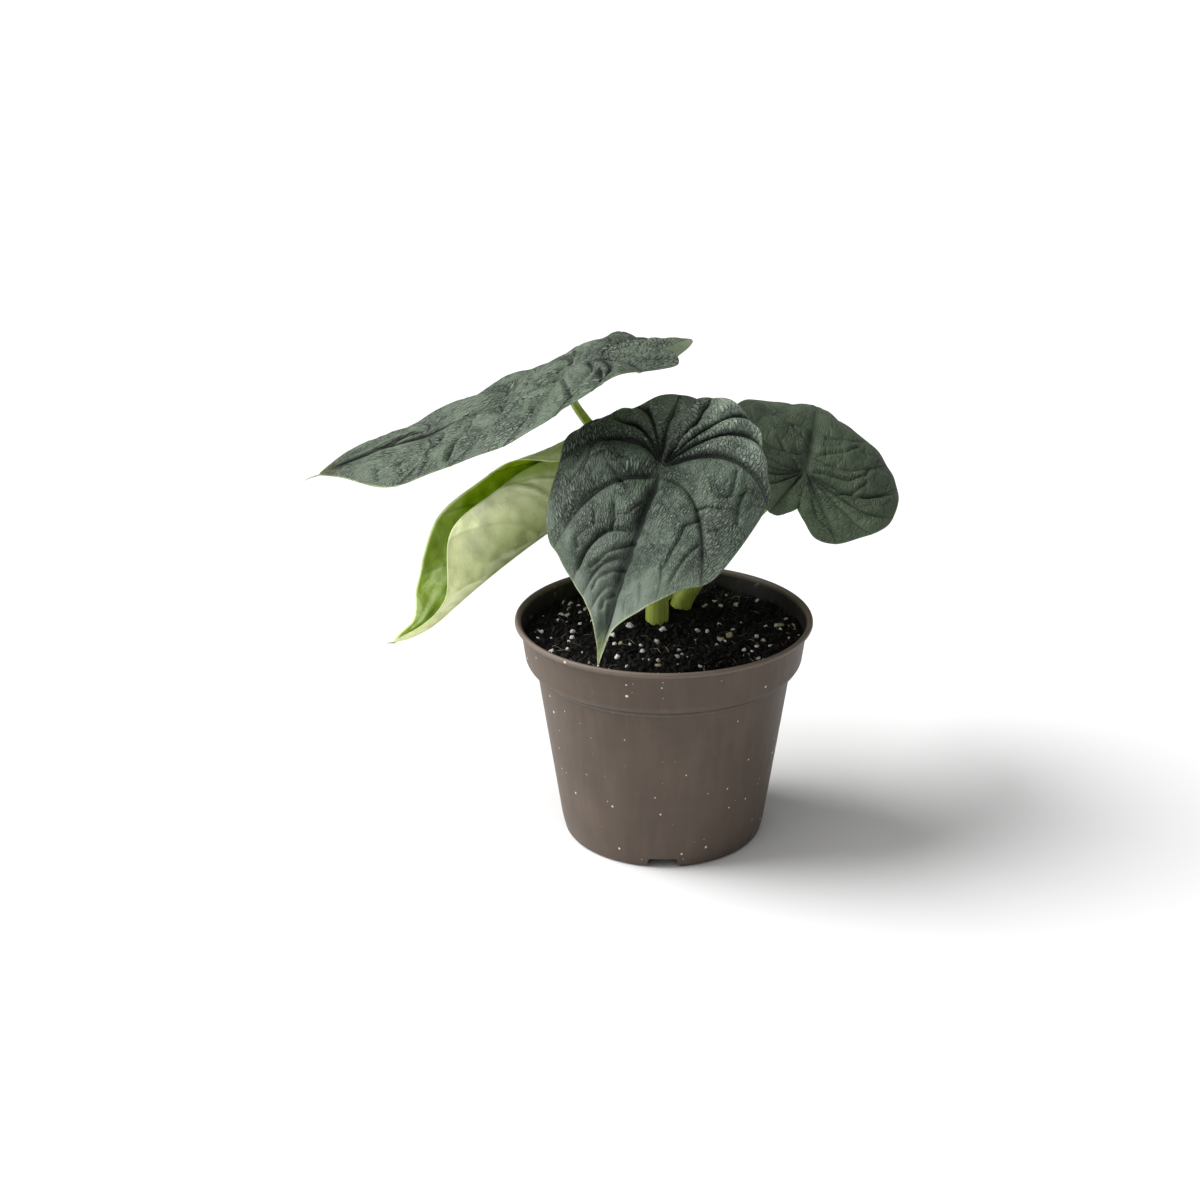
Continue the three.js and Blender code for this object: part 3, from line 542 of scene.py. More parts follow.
def make_blade(name, leaf):
    sheet = Sheet(leaf)
    points, faces, values = [], [], {}
    for right in (True, False):
        upper, lower, brim, shares = half_blade(leaf, sheet, right)
        rows, columns = upper.shape[:2]
        size, first = rows * columns, sum(len(p) for p in points)
        points += [upper.reshape(-1, 3), lower.reshape(-1, 3), brim]
        for key, data in shares.items():
            skin, edge = data.reshape(size, -1), data[:, -1].reshape(rows, -1)
            values.setdefault(key, []).extend([skin, skin, edge])
        values.setdefault("under", []).extend([np.zeros(size), np.ones(size), np.full(rows, 0.5)])
        faces += grid_faces(rows, columns, first, flip=not right)
        faces += grid_faces(rows, columns, first + size, flip=right)
        for i in range(rows - 1):
            top, mid = first + (i + 1) * columns - 1, first + 2 * size + i
            low = top + size
            for quad in ((top, mid, mid + 1, top + columns), (mid, low, low + columns, mid + 1)):
                faces.append(quad if right else quad[::-1])
    values = {key: np.concatenate(data) for key, data in values.items()}
    piece = make_piece("leaf_" + name, np.vstack(points), faces, values)
    rework(piece, merge_seams)
    return piece


def make_tip_hair(name, leaf):
    """The dry thread-like point in which a blade ends."""
    sheet = Sheet(leaf)
    length, overlap = leaf["length"], HAIR["overlap"]
    ahead, side = (unit(pick(length, sheet.s, line)) for line in (sheet.ahead, sheet.side))
    up = np.cross(side, ahead)
    base = sheet.at(np.array(length - overlap), np.array(0.0)) - up * 0.3
    points = []
    for i in range(HAIR["rings"]):
        f = i / (HAIR["rings"] - 1)
        centre = base + ahead * (leaf["hair"] + overlap) * f + up * 0.5 * math.sin(f * 3) * f
        radius = 0.42 * (1 - f) ** 0.7 + 0.07
        points += [centre + radius * (side * math.cos(a) + up * math.sin(a)) for a in around(HAIR["sides"])]
    return make_piece("tip_hair_" + name, np.array(points), tube_faces(HAIR["rings"], HAIR["sides"]))


# The stalks


def even_curve(points, samples):
    """A centripetal Catmull-Rom curve through the points, evenly spaced by length."""
    p = [2 * points[0] - points[1], *points, 2 * points[-1] - points[-2]]
    line = []
    for a, b, c, d in zip(p, p[1:], p[2:], p[3:]):
        da, db, dc = (max(np.linalg.norm(y - x) ** 0.5, 1e-4) for x, y in ((a, b), (b, c), (c, d)))
        v0 = ((b - a) / da - (c - a) / (da + db) + (c - b) / db) * db
        v1 = ((c - b) / db - (d - b) / (db + dc) + (d - c) / dc) * db
        w = np.linspace(0, 1, 60, endpoint=False)[:, None]
        line.append(b + v0 * w + (-3 * b + 3 * c - 2 * v0 - v1) * w ** 2 + (2 * b - 2 * c + v0 + v1) * w ** 3)
    return evenly(np.vstack([*line, points[-1]]), samples)


def make_stalk(name, leaf):
    """A leaf stalk from the soil to the blade's underside, a little grooved on its inner side."""
    sheet = Sheet(leaf)
    zero = np.array(0.0)
    large, middle, small = leaf["radii"]
    normal = sheet.normal(zero, zero)
    under = sheet.at(zero, zero) - normal * leaf["thickness"]
    arrival = unit(under - np.array(leaf["route"][-1], dtype=float))
    lean = 0 if leaf["straight"] else math.sqrt(1 - float(arrival @ normal) ** 2)
    end = under - normal * (CLEARANCE * 1.4 + small * lean)
    points = [(*leaf["foot"], z) for z in (STALK_FOOT, (STALK_FOOT + STALK_BEND) / 2, STALK_BEND)]
    points = [np.array(p, dtype=float) for p in (*points, *leaf["route"])]
    if leaf["straight"]:
        points.append(end - normal * leaf["straight"])
    path = even_curve([*points, end], STALK_RINGS)
    into = unit(path[-1] - path[-2])
    path = np.vstack([path, path[-1] + into * 0.45 + normal * (0.4 + small * lean * 0.8)])

    ahead = unit(np.gradient(path, axis=0))
    across = unit(np.cross(ahead[0], (0.3, 1, 0)))
    angle = around(STALK_SIDES)
    rings, height = [], []
    for i, (centre, forward) in enumerate(zip(path, ahead)):
        across = unit(across - forward * (across @ forward))
        other = np.cross(forward, across)
        u = min(1.0, i / (STALK_RINGS - 1))
        radius = mix(large, middle, smooth(u * 2)) if u < 0.5 else mix(middle, small, smooth(u * 2 - 1))
        from_groove = np.angle(np.exp(1j * (angle - 0.6)))
        groove = 1 - 0.1 * np.exp(-((from_groove / 0.4) ** 2)) * smooth((u - 0.1) * 3)
        fine = 1 + 0.006 * np.cos(11 * angle) + 0.012 * math.sin(u * 17 + large)
        flare = 1 + 0.22 * smooth((u - 0.95) / 0.05)
        reach = radius * groove * fine * flare
        sideways = np.outer(reach * np.cos(angle), across) + np.outer(reach * np.sin(angle), other)
        rings.append(centre + sideways)
        height.append(np.full(STALK_SIDES, u))
    faces = tube_faces(len(rings), STALK_SIDES)
    return make_piece("stalk_of_" + name, np.vstack(rings), faces, {"height": np.concatenate(height)})


# The pot


def wall_radius(z):
    return FOOT_RADIUS + WALL_TAPER * (z - FOOT_TOP_Z)


def inner_line(gap):
    """The pot's inside from its floor up, as radius and height, that far inside the wall."""
    inset = WALL + gap
    return [(wall_radius(FLOOR_TOP_Z + 1) - inset, FLOOR_TOP_Z + gap),
            (wall_radius(BAND_FOOT_Z + 1) - inset, BAND_FOOT_Z + 1.2),
            (BAND[1][0] - inset, BAND[1][1] + 1.3), (BAND[2][0] - inset, BAND[2][1] + 1)]


def rounded(profile, radius=0.9, steps=5):
    """The same profile with each corner between its ends turned into a short curve."""
    p = [np.array(q, dtype=float) for q in profile]
    line = [p[0]]
    for a, b, c in zip(p, p[1:], p[2:]):
        before, after = np.linalg.norm(a - b), np.linalg.norm(c - b)
        cut = min(radius, 0.45 * before, 0.45 * after)
        start, end = b + (a - b) / before * cut, b + (c - b) / after * cut
        for k in range(steps + 1):
            w = k / steps
            line.append(start * (1 - w) ** 2 + 2 * b * w * (1 - w) + end * w ** 2)
    line.append(p[-1])
    return line


def notch_tube():
    """A drainage notch with rounded shoulders, a little wider at the floor, as two rings of points."""
    half, top = NOTCH["width"] / 2, NOTCH["height"]
    side = [(half + 1.1, -1), (half + 0.9, 0.2), (half + 0.25, 1.1), (half, 2), (half - 0.15, top - 0.8),
            (half - 0.9, top)]
    outline = side + [(-x, z) for x, z in reversed(side)]
    near, far = FOOT_RADIUS - NOTCH["inwards"], FOOT_RADIUS + NOTCH["outwards"]
    return [(x, -y, z) for y in (far, near) for x, z in outline]


def drain_tube():
    """A drain hole through the pot's floor, as two rings of points."""
    radius, heights = DRAIN["radius"], (CHANNEL_TOP_Z - 1.5, FLOOR_TOP_Z + 1)
    angles = around(DRAIN["sides"])
    return [(DRAIN["ring"] + radius * math.cos(a), radius * math.sin(a), z) for z in heights for a in angles]


def make_cutter():
    """The notches and drain holes, each turned to its place around the axis."""
    points, faces = [], []
    for tube, count, shift in ((notch_tube(), NOTCH["count"], 0), (drain_tube(), DRAIN["count"], 0.5)):
        for k in range(count):
            turn = 2 * math.pi * (k + shift) / count
            c, s = math.cos(turn), math.sin(turn)
            faces += tube_faces(2, len(tube) // 2, len(points))
            points += [(x * c - y * s, x * s + y * c, z) for x, y, z in tube]
    cutter = make_piece("cutter", np.array(points), faces)
    rework(cutter, lambda work: bmesh.ops.recalc_face_normals(work, faces=work.faces))
    return cutter


def evaluated(piece, modifier):
    """The piece's mesh with its modifier applied. The modifier is removed."""
    made = bpy.data.meshes.new_from_object(piece.evaluated_get(bpy.context.evaluated_depsgraph_get()))
    piece.modifiers.remove(modifier)
    return made


def make_pot():
    outside = [*FOOT, (wall_radius(BAND_FOOT_Z), BAND_FOOT_Z), *BAND, *RIM]
    radius, thickness = DISC["radius"], DISC["thickness"]
    floor = [(radius + 0.2, FLOOR_TOP_Z), (radius - 1, thickness), (0, thickness)]
    profile = rounded([*outside, *inner_line(0)[::-1], *floor])
    line = [profile[0]]
    for a, b in zip(profile, profile[1:]):
        pieces = max(1, math.ceil(np.linalg.norm(b - a) / 4))
        line += [a + (b - a) * k / pieces for k in range(1, pieces + 1)]
    line = np.array(line)
    angle = around(POT_SIDES)
    r, z = line[1:-1, :1], line[1:-1, 1:]
    rings = np.stack([r * np.cos(angle), r * np.sin(angle), z + 0 * angle], -1)
    pot = make_turned("nursery_pot", rings, line[0, 1], line[-1, 1])
    cutter = make_cutter()
    cutting = pot.modifiers.new("openings", "BOOLEAN")
    cutting.operation = "DIFFERENCE"
    cutting.solver = "EXACT"
    cutting.object = cutter
    pot.data = evaluated(pot, cutting)
    bpy.data.objects.remove(cutter)
    pot.data.set_sharp_from_angle(angle=math.radians(SHARP_ANGLE))
    return pot


# The soil


def soil_height(x, y):
    fine = np.sin(x * 0.31 + 1.2) * np.cos(y * 0.27 - 0.4)
    broad = 0.6 * np.sin(x * 0.12 - y * 0.17 + 2)
    mound = MOUND["height"] * np.exp(-((x - MOUND["x"]) ** 2 + (y - MOUND["y"]) ** 2) / MOUND["spread"] ** 2)
    return SOIL["level"] + SOIL["roughness"] * 0.7 * (fine + broad) + mound


def crumbled(x, y):
    """The ground with lumps and crumbs of three sizes."""
    height = soil_height(x, y)
    for size, depth, salt in CRUMBS:
        u = x / size + 0.35 * swell(x / size * 1.7, y / size * 1.7, salt + 2)
        v = y / size + 0.35 * swell(x / size * 1.7, y / size * 1.7, salt + 3)
        nearest = cells(u, v, salt)[0]
        tall = 0.35 + 0.65 * hashed(np.floor(u * 1.3), np.floor(v * 1.3), salt)
        height = height + depth * (np.sqrt(np.clip(1 - nearest ** 2, 0, 1)) - 0.75) * (0.7 + 0.3 * tall)
    from_dip = (x - DIP["x"]) ** 2 + (y - DIP["y"]) ** 2
    return height - DIP["depth"] * np.exp(-from_dip / DIP["spread_squared"])


def make_soil():
    """The peat mix, turned to fit the pot. Its attribute ground is 1 where things may be strewn."""
    sectors, rings = SOIL["sectors"], SOIL["rings"]
    side = np.array(inner_line(CLEARANCE))
    radii = np.append(side[:, 0], SOIL_EDGE * np.arange(rings, 0, -1) / rings)[:, None]
    x, y = radii * np.cos(around(sectors)), radii * np.sin(around(sectors))
    z = crumbled(x, y)
    z[:len(side)] = side[:, 1:]
    ground = np.repeat(np.arange(len(radii)) > len(side) + 1, sectors)
    centre = crumbled(np.zeros(1), np.zeros(1))[0]
    skin = np.stack([x, y, z], -1)
    return make_turned("peat_mix", skin, side[0, 1], centre, {"ground": np.append(ground, (1, 0))})


def model_grains():
    """Where the model's own perlite grains lie, drawn in the same order as there."""
    state = MODEL_GRAINS["seed"]

    def draw():
        nonlocal state
        state = state * 16807 % 2147483647
        return state / 2147483647

    feet = [leaf["foot"] for leaf in LEAVES.values()]
    placed = []
    while len(placed) < MODEL_GRAINS["count"]:
        radius = MODEL_GRAINS["reach"] * math.sqrt(draw())
        angle = 2 * math.pi * draw()
        x, y = radius * math.cos(angle), radius * math.sin(angle)
        size = mix(MODEL_GRAINS["smallest"], MODEL_GRAINS["largest"], draw() ** 2)

        # The model takes two more draws to turn each grain
        draw()
        draw()
        if all(math.hypot(x - fx, y - fy) > MODEL_GRAINS["from_stalks"] for fx, fy in feet):
            placed.append((x, y, float(soil_height(x, y)) + 0.25 * size, size))
    return placed


def grain_shape(name, seed, stretch=(1, 1, 1), rough=0.28, detail=2):
    """A rough pebble about one unit in radius."""
    work = bmesh.new()
    bmesh.ops.create_icosphere(work, subdivisions=detail, radius=1)
    for v in work.verts:
        c = v.co
        k = 1 + rough * math.sin(c.x * 4.1 + seed) * math.cos(c.y * 3.7 - seed * 1.7)
        k += rough * 0.6 * math.sin(c.z * 6.3 + seed * 2.3)
        v.co = Vector((c.x * stretch[0], c.y * stretch[1], c.z * stretch[2])) * k
    mesh = bpy.data.meshes.new(name)
    work.to_mesh(mesh)
    work.free()
    return bpy.data.objects.new(name, mesh)


def fibre_shape(name, seed):
    """A bent root fibre about two units long."""
    rings, sides = 9, 5
    points = []
    for i in range(rings):
        f = i / (rings - 1)
        x = 2 * f - 1
        y = 0.22 * math.sin(f * 5 + seed) + 0.1 * math.sin(f * 11 + seed * 3)
        z = 0.2 * math.sin(f * 4 + seed * 2)
        radius = 0.035 * (1.15 - abs(x) ** 3)
        points += [(x, y + radius * math.cos(a), z + radius * math.sin(a)) for a in around(sides)]
    mesh = bpy.data.meshes.new(name)
    mesh.from_pydata(points, [], tube_faces(rings, sides))
    return bpy.data.objects.new(name, mesh)


def strewing_tree():
    """Geometry nodes that strew one of several shapes over the ground, turned and sized at random."""
    tree = bpy.data.node_groups.new("strewn_on_soil", "GeometryNodeTree")
    sockets = {"Geometry": "Geometry", "Per square metre": "Float", "Seed": "Int", "Smallest": "Float",
               "Largest": "Float", "Tilt": "Float", "Shapes": "Collection", "Finish": "Material"}
    for name, kind in sockets.items():
        tree.interface.new_socket(name, in_out="INPUT", socket_type="NodeSocket" + kind)
    tree.interface.new_socket("Geometry", in_out="OUTPUT", socket_type="NodeSocketGeometry")

    def node(kind, settings=(), output=0, **inputs):
        """A new node's output. Its inputs are given by name, or by number after an n."""
        made = tree.nodes.new(kind)
        for key, value in dict(settings).items():
            setattr(made, key, value)
        for key, value in inputs.items():
            socket = made.inputs[int(key[1:]) if key[1:].isdigit() else key.replace("_", " ")]
            if isinstance(value, bpy.types.NodeSocket):
                tree.links.new(value, socket)
            else:
                socket.default_value = value
        return made.outputs[output]

    given = tree.nodes.new("NodeGroupInput").outputs
    seed, tilt = given["Seed"], given["Tilt"]
    random, number = "FunctionNodeRandomValue", {"data_type": "FLOAT"}
    ground = node("GeometryNodeInputNamedAttribute", number, "Attribute", Name="ground")
    chosen = node("FunctionNodeCompare", {**number, "operation": "GREATER_THAN"}, n0=ground, n1=0.5)
    spots = node("GeometryNodeDistributePointsOnFaces", {"distribute_method": "RANDOM"}, "Points",
                 Mesh=given["Geometry"], Selection=chosen, Density=given["Per square metre"], Seed=seed)
    size = node(random, number, 1, n2=given["Smallest"], n3=given["Largest"], Seed=seed)
    spin = node(random, number, 1, n2=0.0, n3=2 * math.pi, Seed=seed)
    down = node("ShaderNodeMath", {"operation": "MULTIPLY"}, n0=tilt, n1=-1.0)
    lean = node(random, number, 1, n2=down, n3=tilt, Seed=seed)
    turn = node("ShaderNodeCombineXYZ", X=lean, Y=lean, Z=spin)
    shapes = node("GeometryNodeCollectionInfo", Collection=given["Shapes"], Separate_Children=True,
                  Reset_Children=True)
    placed = node("GeometryNodeInstanceOnPoints", Points=spots, Instance=shapes, Pick_Instance=True,
                  Rotation=turn, Scale=size)
    real = node("GeometryNodeRealizeInstances", Geometry=placed)
    painted = node("GeometryNodeSetMaterial", Geometry=real, Material=given["Finish"])
    tree.links.new(painted, tree.nodes.new("NodeGroupOutput").inputs[0])
    return tree


def strew(name, tree, soil, shapes, material, per_square_metre, seed, smallest, largest, tilt):
    """One mesh of everything that the tree strews on the soil. The shapes are used up."""
    group = bpy.data.collections.new(name + "_shapes")
    for shape in shapes:
        group.objects.link(shape)
    carrier = put(name + "_carrier", soil.data.copy())
    strewing = carrier.modifiers.new("strewn", "NODES")
    strewing.node_group = tree
    given = {"Per square metre": per_square_metre, "Seed": seed, "Smallest": smallest * MM,
             "Largest": largest * MM, "Tilt": tilt, "Shapes": group, "Finish": material}
    for item in tree.interface.items_tree:
        if item.in_out == "INPUT" and item.name in given:
            strewing[item.identifier] = given[item.name]
    made = evaluated(carrier, strewing)
    made.name = name
    for used in (carrier, *shapes):
        bpy.data.objects.remove(used)
    bpy.data.collections.remove(group)
    return link_smooth(name, made)


def make_model_grains(spots, shapes):
    """The model's own grains, as rough pebbles in its places."""
    work = bmesh.new()
    for k, (x, y, z, size) in enumerate(spots):
        shape = shapes[k % len(shapes)].data.copy()
        turn = Quaternion((0.3, 1, 0.5), k * 2.1).to_matrix().to_4x4()
        turn.translation = Vector((x, y, z)) * MM
        shape.transform(turn @ Matrix.Scale(size * MM, 4))
        work.from_mesh(shape)
        bpy.data.meshes.remove(shape)
    mesh = bpy.data.meshes.new("perlite")
    work.to_mesh(mesh)
    work.free()
    return link_smooth("perlite", mesh)


# Finishes


class Value:
    """A number that changes over the surface. Arithmetic on it adds Math nodes."""

    def __init__(self, finish, socket):
        self.finish = finish
        self.socket = socket

    def math(self, operation, *others):
        return self.finish.node("ShaderNodeMath", {"operation": operation}, dict(enumerate((self, *others))))

    def __add__(self, other):
        return self.math("ADD", other)

    def __sub__(self, other):
        return self.math("SUBTRACT", other)

    def __rsub__(self, other):
        return self.finish.node("ShaderNodeMath", {"operation": "SUBTRACT"}, {0: other, 1: self})

    def __mul__(self, other):
        return self.math("MULTIPLY", other)

    __radd__, __rmul__ = __add__, __mul__

    def between(self, low, high):
        """Eased from 0 at low to 1 at high."""
        settings = {"interpolation_type": "SMOOTHSTEP", "clamp": True}
        return self.finish.node("ShaderNodeMapRange", settings, {0: self, 1: low, 2: high})

    def beyond(self, low, high):
        """Eased from 1 at low to 0 at high."""
        return 1 - self.between(low, high)


class Finish:
    """A procedural material in the making."""

    def __init__(self, name):
        self.material = bpy.data.materials.new(name)
        self.material.use_nodes = True
        self.tree = self.material.node_tree
        self.tree.nodes.clear()
        self.place = self.node("ShaderNodeTexCoord", output="Object")

    def node(self, kind, settings=(), inputs=(), output=0):
        """The output of a new node, if it has one. Its settings are set before its inputs."""
        made = self.tree.nodes.new(kind)
        for key, value in dict(settings).items():
            setattr(made, key, value)
        for key, value in dict(inputs).items():
            if isinstance(value, Value):
                self.tree.links.new(value.socket, made.inputs[key])
            else:
                made.inputs[key].default_value = value
        return Value(self, made.outputs[output]) if made.outputs else None

    def attributes(self, *names):
        """What the mesh keeps under those names, as numbers, or as vectors for skin and flat."""
        return [self.node("ShaderNodeAttribute", {"attribute_name": name},
                          output="Vector" if name in ("skin", "flat") else "Fac") for name in names]

    def noise(self, size, detail=3, roughness=0.55, place=None, output="Fac"):
        """Clouds about size metres across (or units of the given place), from 0 to 1."""
        inputs = {"Vector": place or self.place, "Scale": 1 / size, "Detail": detail, "Roughness": roughness}
        return self.node("ShaderNodeTexNoise", inputs=inputs, output=output)

    def dots(self, size, low, high):
        """A round dot in each cell of that size, which fades out from low to high away from its middle."""
        away = self.node("ShaderNodeTexVoronoi", inputs={"Vector": self.place, "Scale": 1 / size})
        return away.beyond(low, high)

    def ridged(self, place, size, amount, scale, spread=1.0):
        """Distance from the borders of cells of that scale, on a place warped by that size and amount."""
        settings, warped = {"feature": "DISTANCE_TO_EDGE"}, self.warped(place, size, amount)
        inputs = {"Vector": self.stretched(warped, scale), "Scale": 1, "Randomness": spread}
        return self.node("ShaderNodeTexVoronoi", settings, inputs, "Distance")

    def specks(self, place, spacing, radius, fewer):
        """Round specks on a flat place, with that share of them left out."""
        settings, inputs = {"voronoi_dimensions": "2D"}, {"Vector": place, "Scale": 1 / spacing}
        away = self.node("ShaderNodeTexVoronoi", settings, inputs)
        picked = self.node("ShaderNodeTexVoronoi", settings, inputs, "Color")
        chance, draw = (self.node("ShaderNodeSeparateColor", inputs={0: picked}, output=k) for k in (0, 1))
        size = draw * radius + radius * 0.5
        return (away - size * 0.6).beyond(0, size * 0.4) * chance.between(fewer, fewer + 0.02)

    def stretched(self, place, scale):
        return self.node("ShaderNodeMapping", inputs={"Vector": place, "Scale": scale})

    def vector(self, operation, inputs, output=0):
        return self.node("ShaderNodeVectorMath", {"operation": operation}, inputs, output)

    def warped(self, place, size, amount):
        """The place pushed about by clouds of that size."""
        clouds = self.noise(size, 2, 0.5, place, "Color")
        centred = self.vector("SUBTRACT", {0: clouds, 1: (0.5, 0.5, 0.5)})
        return self.vector("ADD", {0: place, 1: self.vector("SCALE", {0: centred, "Scale": amount})})

    def blend(self, share, low, high):
        """Between two colours, given as values or as linear red, green and blue."""
        low, high = (c if isinstance(c, Value) else (*c, 1) for c in (low, high))
        settings = {"data_type": "RGBA", "clamp_factor": True}
        return self.node("ShaderNodeMix", settings, {0: share, 6: low, 7: high}, output=2)

    def paint(self, color, *coats):
        """The colour under coats, each given as its share and its own colour."""
        for share, coat in coats:
            color = self.blend(share, color, coat)
        return color

    def bump(self, height, distance, strength=1.0, under=None):
        inputs = {"Height": height, "Distance": distance, "Strength": strength}
        if under:
            inputs["Normal"] = under
        return self.node("ShaderNodeBump", inputs=inputs, output="Normal")

    def surface(self, color, roughness, normal=None, **constants):
        """The finished material. Constants are inputs of its shader, named with underscores for spaces."""
        inputs = {"Base Color": color, "Roughness": roughness}
        if normal:
            inputs["Normal"] = normal
        inputs.update({key.replace("_", " "): value for key, value in constants.items()})
        shader = self.node("ShaderNodeBsdfPrincipled", inputs=inputs)
        self.node("ShaderNodeOutputMaterial", inputs={"Surface": shader})
        return self.material


def tinted(color, red, green, blue):
    return (color[0] * red, color[1] * green, color[2] * blue)


def grown_leaf(name, dark, mid, light, gloss, lime, rough, pale_from, stroke, quiet, lobe_painted_light=0.0, grain=1.0):
    """A thick dull leaf: pebbled skin, sunken veins, a pale thin margin and a paler underside.

    gloss is the skin's roughness. rough is the strength of its ridges, of the painted shade in their hollows
    and of the painted highlight on their crowns, grain their size, and stroke the strength of dark lines,
    partly the veins' colour and partly painted shade. quiet is how far these fade towards the tip. stroke
    also scales the painted shade before each vein and beside the midrib. lobe_painted_light is how much
    lighter the lobes are painted, as painted light against the shade that falls on them, and pale_from the
    part of the length over which the tip turns to lime.
    """
    f = Finish(name)
    skin, flat, vein, comb, dusk, crease, rim, tip, under = f.attributes(
        "skin", "flat", "groove", "comb", "dusk", "crease", "rim", "tip", "under")

    # Comb-like ridges stand across the flank that falls to the next vein; rounder pebbles cover the rest
    combs = f.ridged(skin, 4, 1.2, (0.78 / grain, 0.34 / grain, 0.6), 0.9)
    rounds = f.ridged(flat, 4, 1.4, (0.8, 0.8, 1), 0.95)
    fine = f.noise(0.7, 3, 0.65, flat)
    patch = f.noise(13, 2, place=flat).between(0.42, 0.62)
    calm = tip.between(0.3, 0.7) * quiet
    comb_share = (comb + (1 - comb) * (0.14 + 0.36 * patch)) * (1 - 0.85 * calm) * vein.between(0.1, 0.8)
    round_share = (0.04 + 0.12 * patch) * (1 - comb) * (1 - tip.between(0, 0.3) * 0.6)
    round_share = round_share * vein.between(0.2, 1.2)
    ridges = combs.between(0.02, 0.24) * comb_share + rounds.between(0.02, 0.3) * round_share
    hollow_shade = comb_share + round_share - ridges
    crown_highlight = combs.between(0.14, 0.36) * comb_share
    lines = (vein.beyond(0.1, 0.9) * 0.85 + crease.beyond(0.1, 0.9 * grain) * 0.7) * (1 - 0.65 * calm)

    clouds = f.noise(0.016, 4)
    lit = tinted(light, 1.3, 1.3, 1.3)
    top = f.paint(
        f.blend(clouds.between(0.3, 0.7), mid, light),
        (f.noise(0.03, 2).between(0.35, 0.7) * 0.5, tinted(mid, 0.9, 1.12, 0.8)),
        # Painted shade in the hollows between the ridges, and a painted highlight on their crowns
        (hollow_shade * rough * 0.95, dark),
        (crown_highlight * rough * 0.3, tinted(light, 1.6, 1.55, 1.6)),
        ((fine - 0.5) * 0.7, lit),
        (tip.between(0.35, 0.8) * 0.3, lit),
        # The lobes painted lighter: painted light against the shade that falls on them
        (tip.beyond(-0.25, -0.02) * lobe_painted_light, tinted(light, 2, 2, 2)),
        # Painted shade on the flanks before the veins and beside the midrib
        (dusk * (0.72 + 0.3 * fine) * stroke, dark),
        # Dark lines along the sunken veins and creases: partly the veins' own colour, partly painted shade in
        # the grooves
        (lines * stroke, dark),
        (tip.between(*pale_from) * 0.9, lime),
        (rim.beyond(0.2, 0.7) * (0.1 + 0.7 * tip.between(0.4, 0.9)), (0.45, 0.52, 0.27)))
    back = f.paint(
        f.blend(f.noise(0.01, 3), (0.2, 0.27, 0.15), (0.27, 0.34, 0.21)),
        (vein.beyond(0.3, 1.2) * 0.7, (0.38, 0.45, 0.27)))
    upper = under.beyond(0.3, 0.7)
    roughness = gloss + 0.14 * clouds - 0.2 * ridges + 0.4 * dusk + 0.25 * lines
    bumps = f.bump(fine, 0.00025, 0.6, under=f.bump(ridges * upper, 0.0025 * rough, 1.0))
    return f.surface(f.blend(upper, back, top), roughness, bumps, Specular_IOR_Level=0.45)


def new_leaf():
    """The soft new leaf: lime inside, cream-green outside."""
    f = Finish("new_leaf")
    skin, flat, vein, crease, rim, tip, under = f.attributes(
        "skin", "flat", "groove", "crease", "rim", "tip", "under")
    groove, crease = vein.beyond(0.2, 1.2), crease.beyond(0.2, 1.3)
    clouds = f.noise(0.02, 4)
    lime = f.paint(
        f.blend(clouds.between(0.3, 0.7), (0.24, 0.37, 0.001), (0.36, 0.5, 0.003)),
        # Darker in the grooves and creases: partly the veins' colour, partly painted shade
        (groove * 0.6 + crease * 0.3, (0.12, 0.25, 0.003)),
        (tip.between(0.3, 0.7) * 0.65, (0.08, 0.13, 0.0)))
    cream = f.paint(
        f.blend(clouds.between(0.3, 0.75), (0.8, 0.88, 0.44), (0.9, 0.95, 0.6)),
        # Darker green away from the edge: partly the young leaf's own colour, partly painted shade
        (rim.between(4, 30) * 0.9, (0.32, 0.39, 0.12)),
        (f.ridged(skin, 8, 2.5, (0.13, 0.2, 0.2)).beyond(0.0, 0.06) * 0.05, (0.42, 0.53, 0.22)),
        # Darker in the grooves and creases: partly the veins' colour, partly painted shade
        (groove * 0.12 + crease * 0.5, (0.3, 0.4, 0.13)))
    color = f.paint(
        f.blend(under.between(0.3, 0.7), lime, cream),
        (rim.beyond(0.35, 1.3), (0.7, 0.79, 0.42)),
        (tip.between(0.95, 1.0) * 0.6, (0.6, 0.68, 0.3)))
    height = f.noise(11, 1, place=flat) + f.noise(4, 2, place=flat) * 0.12
    return f.surface(color, 0.4 + 0.15 * clouds, f.bump(height, 0.005, 0.8), Specular_IOR_Level=0.45,
                     Subsurface_Weight=0.2, Subsurface_Radius=(1.0, 1.2, 0.25), Subsurface_Scale=0.002)


def leaf_stalk(name, low, high):
    """A smooth juicy stalk, of the colour low at its foot, with fine lengthwise streaks."""
    f = Finish(name)
    (height,) = f.attributes("height")
    streaks = f.noise(0.0011, 4, place=f.stretched(f.place, (1, 1, 0.06)))
    spots = f.noise(0.004, 3)
    color = f.paint(
        # Pale at the foot and darker towards the blade: partly the stalk's own colour, partly painted light
        # at the foot and painted shade under the blade
        f.blend(height.between(0.1, 0.75), low, high),
        (streaks.between(0.35, 0.75) * 0.45, tinted(high, 0.62, 0.7, 0.5)),
        (spots.between(0.55, 0.75) * 0.25, (0.5, 0.55, 0.2)))
    return f.surface(color, 0.36 + 0.2 * spots, f.bump(streaks, 0.00012, 0.5), Specular_IOR_Level=0.5,
                     Subsurface_Weight=0.15, Subsurface_Radius=(1.0, 1.1, 0.3), Subsurface_Scale=0.002)


